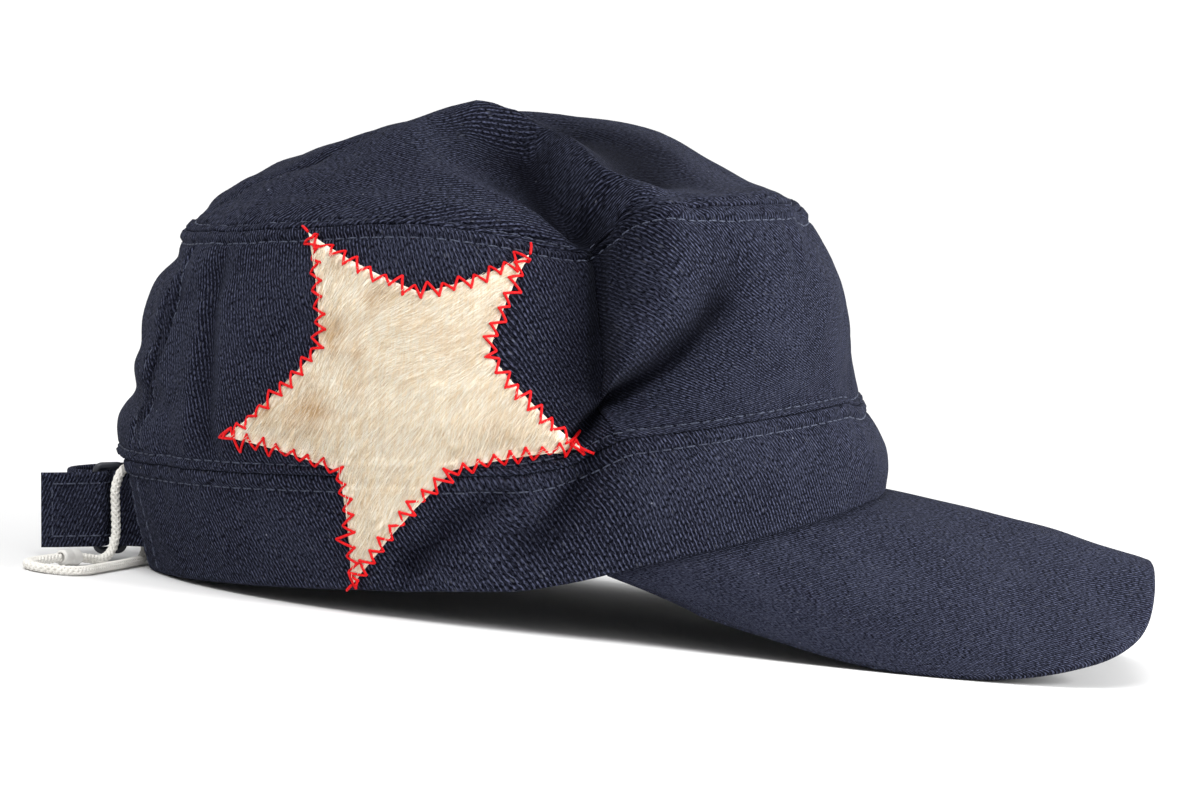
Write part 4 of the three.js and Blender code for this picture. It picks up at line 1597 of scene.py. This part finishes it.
@dataclass
class StarPatch:
    """Star of hair-on hide, sewn down with a red zigzag. Corners are as seen from the side."""

    centre: Pair = (-30.0, 48.0)
    sag: float = 0.9
    edge_step: float = 0.8
    rings: int = 46
    edge_ring: float = 0.007
    edge_rings: float = 0.05
    under: float = 0.12
    lowest_relief: float = -0.3
    edge_height: float = 0.85
    edge_round: float = 0.36
    middle_height: float = 1.55
    pillow: float = 4.5
    bridge: Pair = (0.5, 0.75)
    comb_deg: float = 58.0
    comb_waver_deg: float = 9.0
    comb_waves: Pair = (26.0, 60.0)
    comb_swirl_deg: float = 32.0
    comb_swirl: Triple = (-15.6, 71.0, 16.0)
    comb_step: float = 0.6
    hair_length: float = 5.2
    hair_thickness: float = 0.32
    hair_per_mm2: float = 2.4
    zigzag_pitch: float = 4.1
    zigzag_inside: float = 1.9
    zigzag_outside: float = 1.1
    zigzag_thickness: float = 0.74
    zigzag_bow: float = 0.7
    zigzag_lift: float = 0.35
    zigzag_overlap: float = 0.3
    zigzag_low: float = 0.25
    zigzag_stray: float = 0.5
    zigzag_overshoot: float = 0.35
    zigzag_jitter: float = 0.25
    loose_end: float = 2.6
    loose_spread: float = 0.55
    loose_heights: Pair = (1.0, 0.5)
    corners: tuple[Pair, ...] = (
        (-52.8, 92.1),
        (-23.6, 77.8),
        (4.2, 87.0),
        (-6.1, 62.1),
        (18.2, 36.9),
        (-15.4, 32.0),
        (-41.6, 1.6),
        (-45.0, 31.5),
        (-74.6, 39.4),
        (-49.9, 63.5),
    )
    # Tan blotches: place in the side view, radius, share of tan
    blotches: tuple[tuple[float, float, float, float], ...] = (
        (-34.8, 74.9, 3.4, 0.9),
        (-46.6, 66.1, 4.8, 0.75),
        (-40.7, 60.2, 4.2, 0.55),
        (-40.2, 50.8, 3.2, 0.7),
        (-52.3, 45.7, 4.8, 0.95),
        (-65.7, 45.7, 3.4, 0.6),
        (-29.5, 57.0, 3.2, 0.3),
        (-5.9, 74.4, 2.8, 0.35),
        (-46.9, 83.5, 3.2, 0.4),
        (-37.5, 22.1, 3.8, 0.35),
    )

    def outline(self, step: float) -> tuple[Points, Points]:
        """Walk round the star's edge at even steps.

        Args:
            step: Distance between points.

        Returns:
            Points of the edge and their inward directions, both in the side view.
        """
        corners = np.array(self.corners)
        t = np.linspace(0.0, 1.0, 80, endpoint=False)[:, None]
        dense = []
        for start, run in zip(corners, np.roll(corners, -1, axis=0) - corners):
            inward = np.array([run[1], -run[0]]) / math.hypot(*run)
            dense.append(start + run * t + self.sag * 4 * t * (1 - t) * inward)
        ring = np.vstack([*dense, dense[0][:1]])
        way = way_along(ring)
        count = round(way[-1] / step / 2) * 2
        points = points_at(np.linspace(0.0, way[-1], count, endpoint=False), way, ring)
        ahead = np.roll(points, -1, axis=0) - np.roll(points, 1, axis=0)
        return points, unit(np.stack([ahead[:, 1], -ahead[:, 0]], axis=1))

    def edge_distance(self, places: Points) -> Points:
        """Distance from places of the side view to the star's edge.

        Args:
            places: Places in the side view.

        Returns:
            Distances in millimetres.
        """
        edge, _ = self.outline(self.edge_step)
        nearest = [np.min(np.linalg.norm(edge - place, axis=1)) for place in places.reshape(-1, 2)]
        return np.array(nearest).reshape(places.shape[:-1])

    def inside(self, places: Points) -> Points:
        """Tell which places of the side view lie on the star.

        Args:
            places: Places in the side view.

        Returns:
            True for each place inside the edge.
        """
        edge, _ = self.outline(self.edge_step * 2)
        x, z = places[..., 0], places[..., 1]
        within = np.zeros(x.shape, dtype=bool)
        for (x0, z0), (x1, z1) in zip(edge, np.roll(edge, -1, axis=0)):
            if z0 != z1:
                crossing = x0 + (z - z0) * (x1 - x0) / (z1 - z0)
                within ^= ((z0 > z) != (z1 > z)) & (x < crossing)
        return within

    def room(self, places: Points, way: Points) -> Points:
        """Share of a hair's length that fits on the star from a root.

        Args:
            places: Roots in the side view.
            way: Direction of each hair there.

        Returns:
            Shares from a tenth to 1.
        """
        share = np.full(places.shape[:-1], 0.1)
        fits = self.inside(places)
        for step in np.linspace(0.2, 1.0, 9):
            fits &= self.inside(places + way * (self.hair_length * step))
            share = np.where(fits, step, share)
        return share

    def laid(self, places: Points, height: Points, on_hide: Points | bool) -> Points:
        """Lay places of the side view on the cap at a height over its cloth or over the hide.

        Args:
            places: Places in the side view.
            height: Heights over the cloth, without the hide's bridging.
            on_hide: True where the hide bridges the seams below.

        Returns:
            Points in the cap's frame.
        """
        angle, level = FORM.from_side(places[..., 0], places[..., 1])
        relief = np.maximum(FORM.relief(angle, level), self.lowest_relief)
        lift, flatter = self.bridge
        relief += np.where(on_hide, lift - flatter * relief, 0.0)
        return FORM.face(angle, level, relief + height)

    def combing(self, places: Points) -> Points:
        """Directions in which the hair lies.

        Args:
            places: Places in the side view.

        Returns:
            Directions in the side view.
        """
        x, z = places[..., 0], places[..., 1]
        swirl_x, swirl_z, swirl_size = self.comb_swirl
        near = np.exp(-((x - swirl_x) ** 2 + (z - swirl_z) ** 2) / (2 * swirl_size**2))
        waver = self.comb_waver_deg * uneven(x, z, Seed.COMB, self.comb_waves, 5)
        turn = np.radians(self.comb_deg - self.comb_swirl_deg * near + waver)
        return np.stack([np.cos(turn), np.sin(turn)], axis=-1)

    def blotched(self, places: Points) -> Points:
        """Share of tan in the hide's colour.

        Args:
            places: Places in the side view.

        Returns:
            Shares from 0 to 1.
        """
        share = np.zeros(places.shape[:-1])
        for x, z, radius, strength in self.blotches:
            off = np.hypot(places[..., 0] - x, places[..., 1] - z) / radius
            share = np.maximum(share, strength * np.exp(-(off**2)))
        return share

    def hide(self) -> Object:
        """Build the hide with its comb directions and blotches.

        Returns:
            The finished hide.
        """
        edge = self.outline(self.edge_step)[0][::-1]
        shares = 1.0 - graded(1.0, self.edge_ring, 1.0 / self.rings, (self.edge_rings, 0.0))
        centre = np.array(self.centre)
        places = centre + (edge - centre)[None, :, :] * shares[:, None, None]
        distance = self.edge_distance(places)
        swell = (self.middle_height - self.edge_height) * smooth_step(distance / self.pillow)
        height = self.edge_height + swell - edge_drop(distance, self.edge_round)
        outer = self.laid(places, height, True)
        inner = self.laid(places, np.full_like(height, self.under), False)
        way = self.combing(places)
        comb = self.laid(places + way * self.comb_step, height, True) - outer
        values = {"comb": unit(REST.turn(comb)), "room": self.room(places, way)}
        values[BLOTCH] = self.blotched(places)
        return put_wall("star_hide", (outer, inner), CALF_HIDE, values=values, dome=True)

    def hair(self, hide: Object) -> Object:
        """Grow the hair over the hide's outer face.

        Args:
            hide: The finished hide.

        Returns:
            The hair.
        """
        source = add_object("star_hair", hide.data.copy())
        grid = bmesh.new()
        grid.from_mesh(source.data)
        bmesh.ops.delete(grid, geom=[face for face in grid.faces if face.normal.y > 0], context="FACES")
        grid.to_mesh(source.data)
        grid.free()
        sizes = (self.hair_length, self.hair_thickness, self.hair_per_mm2)
        return hair_tree("hide_hair", *sizes, int(Seed.HAIR)).grow(source, CALF_HAIR)

    def zigzag(self) -> Object:
        """Sew the red zigzag round the edge, with a loose end at each tip.

        Returns:
            The stitches.
        """
        edge, inward = self.outline(self.zigzag_pitch / 2)
        draw = np.random.default_rng(Seed.ZIGZAG)
        inside = np.arange(len(edge)) % 2 == 0
        stray = draw.uniform(-self.zigzag_stray, self.zigzag_stray, len(edge))
        stray -= np.where(inside, 0.0, draw.exponential(self.zigzag_overshoot, len(edge)))
        offset = np.where(inside, self.zigzag_inside, -self.zigzag_outside) + stray
        holes = edge + inward * offset[:, None] + draw.normal(0.0, self.zigzag_jitter, edge.shape)
        height = np.where(inside, self.middle_height, self.zigzag_low)
        tips = np.array(self.corners[::2])
        outward = unit(tips - np.array(self.centre)) + draw.normal(0.0, self.loose_spread, tips.shape)
        starts = np.vstack([holes, tips])
        ends = np.vstack([np.roll(holes, -1, axis=0), tips + unit(outward) * self.loose_end])
        each_tip = np.ones(len(tips))
        high, low = self.loose_heights
        start_height = np.concatenate([height, each_tip * high])
        end_height = np.concatenate([np.roll(height, -1), each_tip * low])
        start_on = np.concatenate([inside, each_tip > 0])
        end_on = np.concatenate([np.roll(inside, -1), each_tip < 0])
        at = REST.from_cap(self.laid(starts, start_height, start_on))
        to = REST.from_cap(self.laid(ends, end_height, end_on))
        up = REST.turn(normal_of(FORM.skin, *FORM.from_side(*((starts + ends) / 2).T)))
        middle = (at + to) / 2 + up * self.zigzag_lift * MM
        reach = np.linalg.norm(to - at, axis=1) + self.zigzag_overlap * MM
        tree = stitch_tree("zigzag_stitch", self.zigzag_thickness, self.zigzag_bow)
        return Stitches(middle, unit(to - at), up, reach).sew("star_zigzag", tree, RED_THREAD)

    def build(self) -> None:
        """Build hide, hair and zigzag."""
        hide = self.hide()
        hair = self.hair(hide)
        zigzag = self.zigzag()
        hand_over(hide, Slot.HIDE, "star_patch")
        hand_over(hair, Slot.HIDE)
        hand_over(zigzag, Slot.HIDE)


@dataclass(frozen=True)
class StitchRow:
    """A row of topstitching from one angle and cloth height to another."""

    start: Pair
    end: Pair


@dataclass
class Topstitching:
    """Rows of topstitching along the cap's seams, each its own distance from the seam."""

    pitch: float = 3.4
    length: float = 2.5
    thickness: float = 0.46
    bow: float = 0.26
    lift: float = 0.12
    beside: float = 3.6
    hem: float = 3.0
    samples: int = 3000
    look_ahead: float = 0.8
    shift: float = 0.18
    slant: float = 0.09

    def rows(self) -> list[StitchRow]:
        """List the rows.

        Returns:
            All rows of the crown and band.
        """
        band = BAND_CLOTH
        top = BAND_CLOTH + WALL_CLOTH
        round_rows = ((180.0, top + self.beside), (180.0, top - self.beside), (180.0, band + self.beside))
        made = [
            StitchRow((-end, height), (end, height))
            for end, height in (*round_rows, (BAND_END_DEG - 1.0, band - self.beside))
        ]
        beside_deg = self.beside / MM_PER_DEG
        for side in (-1.0, 1.0):
            seam = side * BACK_SEAM_DEG
            hem = side * (BAND_END_DEG - self.hem / MM_PER_DEG)
            upright = (
                (seam - beside_deg, band + self.beside + 1.0, top - self.beside - 1.0),
                (seam + beside_deg, band + self.beside + 1.0, top - self.beside - 1.0),
                (seam, 1.0, band - self.beside - 1.0),
                (hem, 1.5, band - 1.5),
            )
            made += [StitchRow((angle, low), (angle, high)) for angle, low, high in upright]
        return made

    def stitches(self, row: StitchRow, seed: int) -> tuple[Points, Points, Points]:
        """Place one row's stitches.

        Args:
            row: The row.
            seed: Number that fixes the small unevenness.

        Returns:
            Middles, directions and up directions in the cap's frame.
        """
        t = np.linspace(0.0, 1.0, self.samples)
        angle = row.start[0] + (row.end[0] - row.start[0]) * t
        level = level_at(row.start[1] + (row.end[1] - row.start[1]) * t)
        line = FORM.dressed(angle, level)
        way = way_along(line)
        count = int(way[-1] / self.pitch)
        draw = np.random.default_rng(seed)
        at = (np.arange(count) + 0.5) * way[-1] / count + draw.uniform(-self.shift, self.shift, count)
        ahead = points_at(at + self.look_ahead, way, line) - points_at(at - self.look_ahead, way, line)
        up = normal_of(FORM.skin, np.interp(at, way, angle), np.interp(at, way, level))
        aside = unit(np.cross(up, ahead)) * draw.normal(0.0, self.slant, (count, 1))
        return points_at(at, way, line) + up * self.lift, unit(ahead + aside), up

    def build(self) -> None:
        """Sew all rows."""
        found = [self.stitches(row, Seed.TOPSTITCHES + i) for i, row in enumerate(self.rows())]
        middle, way, up = (np.concatenate(part) for part in zip(*found))
        tree = stitch_tree("top_stitch", self.thickness, self.bow)
        reach = np.full(len(middle), self.length * MM)
        rows = Stitches(REST.from_cap(middle), REST.turn(way), REST.turn(up), reach)
        hand_over(rows.sew("seam_stitches", tree, NAVY_THREAD), Slot.TWILL)


@dataclass
class BackStrap:
    """Back strap with its folded free tab, the strap root with its eyelet, and the ring between them.

    Lines are in plan. The strap's runs from inside the band round the ring's leg to the free tab's end.
    """

    width: float = 20.0
    thickness: float = 1.8
    low: float = 6.0
    eyelet_radius: float = 2.45
    eyelet_thickness: float = 1.3
    eyelet_turn_deg: float = 275.0
    ring_wire: float = 2.0
    ring_corner: float = 1.6
    root_leg: Pair = (-104.5, -12.5)
    strap_leg: Pair = (-111.5, -14.5)
    step: float = 0.55
    fine: float = 0.2
    coarse: float = 0.8
    edge: float = 1.2
    rib_deg: float = 66.0
    bend: float = 0.18
    bend_waves: Pair = (9.0, 30.0)
    calm_edge: float = 4.0
    row_offset: float = 3.0
    row_dip: float = 0.22
    row_width: float = 0.7
    stitch_pitch: float = 3.3
    stitch_length: float = 2.7
    stitch_thickness: float = 0.38
    stitch_bow: float = 0.26
    stitch_sunk: float = 0.08
    first_stitch: float = 12.0
    last_stitch_gap: float = 0.2
    end_row: Pair = (4.6, 16.0)
    root_strip: tuple[Pair, ...] = ((-90.0, -35.0), (-92.9, -28.0), (-95.2, -20.5))
    strap_line: tuple[Pair, ...] = (
        (-90.0, 35.0),
        (-92.9, 28.0),
        (-95.2, 20.5),
        (-99.6, 15.2),
        (-107.0, 11.0),
        (-114.5, 6.0),
        (-119.0, -1.0),
        (-117.5, -8.0),
        (-112.7, -11.8),
        (-109.625, -12.75),
        (-109.0, -14.75),
        (-110.25, -16.875),
        (-114.5, -17.9),
        (-120.0, -19.1),
        (-126.0, -19.6),
    )

    def root_line(self) -> Points:
        """Line of the strap root in plan, which ends round the ring's leg.

        Returns:
            Points in plan.
        """
        leg = np.array(self.root_leg)
        strip = np.array(self.root_strip)
        way = unit(leg - strip[-1])
        left = math.atan2(way[0], -way[1])
        turns = left - np.radians(np.linspace(0.0, self.eyelet_turn_deg, 12))
        round_leg = leg + self.eyelet_radius * np.stack([np.cos(turns), np.sin(turns)], axis=1)
        return np.vstack([strip, round_leg])

    def ribbon(self, name: str, line: Points, thickness: float) -> Object:
        """Build an upright strip of cloth along a line in plan.

        Args:
            name: Name of the piece.
            line: Line in plan.
            thickness: Thickness of the cloth.

        Returns:
            The strip.
        """
        path, length = spaced(line, self.step, 400)
        ahead = unit(np.gradient(path, axis=0))
        heights = graded(self.width, self.fine, self.coarse, (self.edge, self.edge))
        s, z = np.meshgrid(np.linspace(0.0, length, len(path)), heights)
        to_long_edge = np.minimum(z, self.width - z)
        edge = np.minimum(to_long_edge, np.minimum(s, length - s))
        calm = smooth_step(edge / self.calm_edge)
        bend = self.bend * uneven(s, z, Seed.STRAP_BENDS, self.bend_waves) * calm
        held = -self.row_dip * np.exp(-(((to_long_edge - self.row_offset) / self.row_width) ** 2))
        half = thickness / 2 - edge_drop(edge, thickness * EDGE_ROUND) + held
        side = np.stack([-ahead[:, 1], ahead[:, 0]], axis=1)

        def face(distance: Points) -> Points:
            """Points of the strip at a distance to its left."""
            plan = path[None, :, :] + side[None, :, :] * distance[..., None]
            return np.concatenate([plan, (self.low + z)[..., None]], axis=-1)

        uv = turned_map(s, z, self.rib_deg)
        return put_wall(name, (face(bend - half), face(bend + half)), NAVY_TWILL, uv)

    def tab_stitches(self) -> Object:
        """Sew the rows on the tab: along both long edges and across its end.

        Returns:
            The stitches.
        """
        path = spline(np.array(self.strap_line), 2600)
        ahead = unit(np.gradient(path, axis=0))
        way = way_along(path)
        last = way[-1] - self.row_offset
        spots = []
        for z in (self.row_offset, self.width - self.row_offset):
            rows = np.arange(self.first_stitch, last - self.last_stitch_gap, self.stitch_pitch)
            spots += [(s, z, True) for s in rows]
        spots += [(last, z, False) for z in np.arange(*self.end_row, self.stitch_pitch)]
        middle, direction, up = [], [], []
        for s, z, lengthwise in spots:
            k = int(np.searchsorted(way, s))
            side = np.array([-ahead[k, 1], ahead[k, 0], 0.0])
            for sign in (-1.0, 1.0):
                face = side * sign * (self.thickness / 2 - self.stitch_sunk)
                middle.append(np.array([*path[k], self.low + z]) + face)
                direction.append(np.array([*ahead[k], 0.0]) if lengthwise else UPWARDS)
                up.append(side * sign)
        reach = np.full(len(middle), self.stitch_length * MM)
        turned = (REST.turn(np.array(vectors)) for vectors in (direction, up))
        rows = Stitches(REST.from_cap(np.array(middle)), *turned, reach)
        tree = stitch_tree("tab_stitch", self.stitch_thickness, self.stitch_bow)
        return rows.sew("strap_stitches", tree, NAVY_THREAD)

    def ring(self) -> Object:
        """Build the ring that joins the strap's two ends.

        Returns:
            The ring.
        """
        first = np.array(self.root_leg)
        across = np.array(self.strap_leg) - first
        r = self.ring_corner
        x = np.linalg.norm(across) / 2 - r
        z = self.width / 2 + PIECE_GAP + self.ring_wire / 2 - r
        loop = []
        for quarter, corner in enumerate(((x, z), (-x, z), (-x, -z), (x, -z))):
            turns = np.radians(90.0 * quarter + np.linspace(0.0, 90.0, 9))
            loop.append(np.array(corner) + r * np.stack([np.cos(turns), np.sin(turns)], axis=1))
        flat = np.vstack(loop)
        plan = first + across / 2 + unit(across) * flat[:, :1]
        points = np.column_stack([plan, self.low + self.width / 2 + flat[:, 1]])
        source = line_object("strap_ring_wire", [REST.from_cap(points)], closed=True)
        return tube_tree("ring_wire", self.ring_wire / 2, 14).grow(source, DARK_PLASTIC)

    def build(self) -> None:
        """Build strap, root, ring and stitches."""
        strap = self.ribbon("strap_cloth", np.array(self.strap_line), self.thickness)
        hand_over(strap, Slot.TWILL, "strap")
        root = self.ribbon("strap_root_cloth", self.root_line(), self.eyelet_thickness)
        hand_over(root, Slot.TWILL, "strap_root")
        hand_over(self.ring(), Slot.RING, "strap_ring")
        hand_over(self.tab_stitches(), Slot.TWILL)


@dataclass
class CordLoop:
    """White braided cord, looped round the strap root and joined by a plastic sleeve.

    The route is in the resting frame, before it is carried to the frame's origin.
    """

    diameter: float = 2.7
    strands: int = 4
    strand_radius: float = 0.43
    weave: float = 0.1
    core_radius: float = 0.72
    braid_pitch: float = 6.2
    braid_step: float = 0.26
    sleeve_diameter: float = 4.3
    sleeve_length: float = 7.9
    sleeve_round: float = 0.9
    sleeve_sides: int = 36
    sleeve_play: float = 0.1
    lip_depths: Pair = (1.4, 0.35)
    lip_share: float = 0.9
    groove_halves: Pair = (0.3, 0.12)
    groove_depth: float = 0.07
    path_stride: int = 6
    sleeve_axis: Triple = (-0.55, -0.835, 0.0)
    route: tuple[Triple, ...] = (
        (-115.0, -33.4, 2.2),
        (-112.4, -29.4, 1.8),
        (-109.7, -25.3, 1.46),
        (-107.4, -21.8, 3.1),
        (-106.5, -20.2, 7.4),
        (-107.2, -19.7, 14.0),
        (-107.95, -19.4, 20.6),
        (-106.8, -18.05, 24.8),
        (-104.1, -14.9, 26.55),
        (-101.4, -11.75, 24.8),
        (-100.25, -10.4, 20.6),
        (-99.3, -9.5, 14.0),
        (-98.6, -8.8, 7.6),
        (-98.8, -10.4, 3.2),
        (-99.4, -14.5, 1.46),
        (-100.3, -18.5, 1.4),
        (-101.9, -24.5, 1.4),
        (-104.0, -32.0, 1.4),
        (-106.6, -40.5, 1.4),
        (-109.2, -49.0, 1.4),
        (-111.8, -57.0, 1.4),
        (-115.8, -62.6, 1.4),
        (-122.2, -63.8, 1.4),
        (-126.9, -58.9, 1.4),
        (-126.2, -51.5, 1.5),
        (-122.6, -44.9, 1.9),
        (-119.8, -40.6, 2.2),
    )

    def carried_sides(self, path: Points) -> tuple[Points, Points]:
        """Two side directions along a path that don't twist.

        Args:
            path: Points of the path.

        Returns:
            First and second side direction at each point.
        """
        ahead = unit(np.gradient(path, axis=0))
        first = np.zeros_like(path)
        side = unit(np.cross(ahead[0], UPWARDS))
        for i, way in enumerate(ahead):
            side = unit(side - way * np.dot(side, way))
            first[i] = side
        return first, np.cross(ahead, first)

    def braid(self) -> tuple[Object, Points, float]:
        """Build the braid of strands over its core.

        Returns:
            The cord, its path in metres and its length in metres.
        """
        path, length = spaced(np.array(self.route), self.braid_step, 2000)
        first, second = self.carried_sides(path)
        s = np.linspace(0.0, length, len(path))
        crossing = self.braid_pitch / (2 * self.strands)
        middle = self.diameter / 2 - self.strand_radius - self.weave
        lines = []
        for hand in (1.0, -1.0):
            for i in range(self.strands):
                turn = hand * 2 * math.pi * s / self.braid_pitch + 2 * math.pi * i / self.strands
                phase = math.pi * s / (2 * crossing) + hand * (math.pi * i - math.pi / 4)
                radius = middle + hand * self.weave * np.cos(phase)
                off = first * np.cos(turn)[:, None] + second * np.sin(turn)[:, None]
                lines.append(REST.from_floor(path + off * radius[:, None]))
        placed = REST.from_floor(path)
        strand_tree = tube_tree("braid_strand", self.strand_radius, 6)
        strands = strand_tree.grow(line_object("cord_braid", lines), WHITE_BRAID)
        core_tree = tube_tree("braid_core", self.core_radius, 8)
        core = core_tree.grow(line_object("cord_core", [placed]), WHITE_BRAID)
        return joined("cord_braid", [strands, core]), placed, length * MM

    def sleeve(self) -> Object:
        """Build the sleeve: a turned form with rounded ends and a fine moulding groove round its middle.

        Returns:
            The sleeve.
        """
        r = self.sleeve_diameter / 2
        half = self.sleeve_length / 2
        mouth = self.diameter / 2 + self.sleeve_play
        bend = self.sleeve_round
        turns = np.radians(np.linspace(0.0, 90.0, 7))
        rounded = np.array([half - bend, r - bend]) + bend * np.stack([np.cos(turns), np.sin(turns)], axis=1)
        lips = [(half - self.lip_depths[0], mouth * self.lip_share), (half - self.lip_depths[1], mouth)]
        groove = [(self.groove_halves[0], r), (self.groove_halves[1], r - self.groove_depth)]
        end = np.vstack([lips, rounded, groove])
        profile = np.vstack([end, end[::-1] * (-1.0, 1.0)])
        axis = unit(np.array(self.sleeve_axis))
        side = unit(np.cross(axis, UPWARDS))
        spin = np.linspace(0.0, 2 * math.pi, self.sleeve_sides, endpoint=False)[:, None]
        ring = side * np.cos(spin) + np.cross(side, axis) * np.sin(spin)
        points = np.array(REST.sleeve_middle) + axis * profile[:, :1, None] + ring * profile[:, 1:, None]
        ids = np.arange(len(profile) * len(spin)).reshape(len(profile), len(spin))
        beside = np.roll(ids, -1, axis=1)
        quads = np.stack([ids[:-1], beside[:-1], beside[1:], ids[1:]], axis=-1).reshape(-1, 4)
        faces = [*quads.tolist(), ids[0, ::-1].tolist(), ids[-1].tolist()]
        return put_mesh("cord_sleeve_shell", REST.from_floor(points.reshape(-1, 3)), faces, WHITE_PLASTIC)

    def build(self) -> None:
        sleeve = hand_over(self.sleeve(), Slot.SLEEVE, "cord_sleeve")
        cord, path, length = self.braid()
        hand_over(cord, Slot.CORD, "cord_loop")


def facing(back: Points) -> Matrix:
    """Turn a lamp so that it shines away from the direction behind it."""
    side = unit(np.cross(UPWARDS, back))
    return Matrix(np.stack([side, np.cross(back, side), back], axis=1).tolist()).to_4x4()


@dataclass(frozen=True)
class Lamp:
    """A soft distant light: where it comes from, its strength and how wide it is."""

    name: str
    come_from: Triple
    strength: float
    angle_deg: float

    def build(self) -> None:
        """Place the light."""
        data = bpy.data.lights.new(self.name, "SUN")
        data.energy = self.strength
        data.angle = math.radians(self.angle_deg)
        add_object(self.name, data).matrix_world = facing(unit(np.array(self.come_from)))


@dataclass(frozen=True)
class PanelLamp:
    """A square lamp near the cap: its place and aim in metres, its strength and the length of its side."""

    name: str
    place: Triple
    aim: Triple
    watts: float
    side: float

    def build(self) -> None:
        """Place the lamp."""
        data = bpy.data.lights.new(self.name, "AREA")
        data.energy = self.watts
        data.size = self.side
        back = unit(np.array(self.place) - np.array(self.aim))
        add_object(self.name, data).matrix_world = Matrix.Translation(self.place) @ facing(back)


@dataclass
class Studio:
    """Pale floor, soft light and the camera, which keeps the cap's own upright."""

    distance: float = 2500.0
    elevation_deg: float = 4.5
    image_width: float = 321.7
    aim: Triple = (22.8, 0.0, 43.8)
    sensor: float = 36.0
    clip_end: float = 100.0
    floor_half: float = 30.0
    lamps: tuple[Lamp | PanelLamp, ...] = (
        Lamp("top", (-0.2, -0.35, 0.91), 2.15, 45.0),
        PanelLamp("right", (0.68, -0.18, 0.28), (0.0, 0.0, 0.06), 6.2, 0.3),
    )
    ambient: float = 0.7
    backdrop_range: Pair = (0.84, 0.96)

    def camera(self) -> None:
        """Place the camera."""
        rise = math.radians(self.elevation_deg)
        right = REST.turn(np.array([1.0, 0.0, 0.0]))
        up = REST.turn(np.array([0.0, math.sin(rise), math.cos(rise)]))
        back = REST.turn(np.array([0.0, -math.cos(rise), math.sin(rise)]))
        place = REST.from_cap(np.array(self.aim)) + back * self.distance * MM
        data = bpy.data.cameras.new("camera")
        data.sensor_width = self.sensor
        data.lens = self.sensor * self.distance / self.image_width
        data.clip_end = self.clip_end
        made = add_object("camera", data)
        turn = Matrix(np.stack([right, up, back], axis=1).tolist()).to_4x4()
        made.matrix_world = Matrix.Translation(place) @ turn
        bpy.context.scene.camera = made

    def backdrop(self) -> None:
        """Light the surroundings: white behind the cap, dimmer round the studio."""
        world = bpy.data.worlds.new("studio")
        world.use_nodes = True
        board = NodeBoard(world.node_tree)
        way = board.add("ShaderNodeTexCoord").outputs["Generated"]
        behind = board.add("ShaderNodeSeparateXYZ", {0: way}).outputs["Y"]
        share = board.ramp(behind, *self.backdrop_range)
        strength = board.math("MULTIPLY_ADD", share, 1.0 - self.ambient, self.ambient)
        white = (1.0, 1.0, 1.0, 1.0)
        board.feed(world.node_tree.nodes["Background"], {"Color": white, "Strength": strength})
        bpy.context.scene.world = world
        bpy.context.scene.view_settings.view_transform = "Standard"

    def build(self) -> None:
        """Build floor, light and camera."""
        h = self.floor_half
        corners = np.array([(-h, -h, 0.0), (h, -h, 0.0), (h, h, 0.0), (-h, h, 0.0)])
        floor = put_mesh("floor", corners, [[0, 1, 2, 3]], PALE_FLOOR)
        self.backdrop()
        for lamp in self.lamps:
            lamp.build()
        self.camera()


def main() -> None:
    """Build the cap piece by piece and its studio."""
    logging.basicConfig(level=logging.INFO, format="%(name)s: %(message)s")
    Studio().build()
    CordLoop().build()
    wall = (BAND_SEAM, TOP_SEAM)
    for panel in (
        ClothPanel("crown_side_star", (-BACK_SEAM_DEG, -STAR_CREASE_DEG), wall, 67.0),
        ClothPanel("crown_front", (-STAR_CREASE_DEG, CREASE_DEG), wall, 42.0),
        ClothPanel("crown_side_plain", (CREASE_DEG, BACK_SEAM_DEG), wall, -60.0),
        ClothPanel("crown_back", (BACK_SEAM_DEG, 360.0 - BACK_SEAM_DEG), wall, 60.0),
        ClothPanel("band", (-BAND_END_DEG, BAND_END_DEG), (BAND_EDGE, BAND_SEAM), 68.0, pressed=True),
        CrownTop(),
        Peak(),
        StarPatch(),
        BackStrap(),
        Topstitching(),
    ):
        panel.build()


if __name__ == "__main__":
    main()
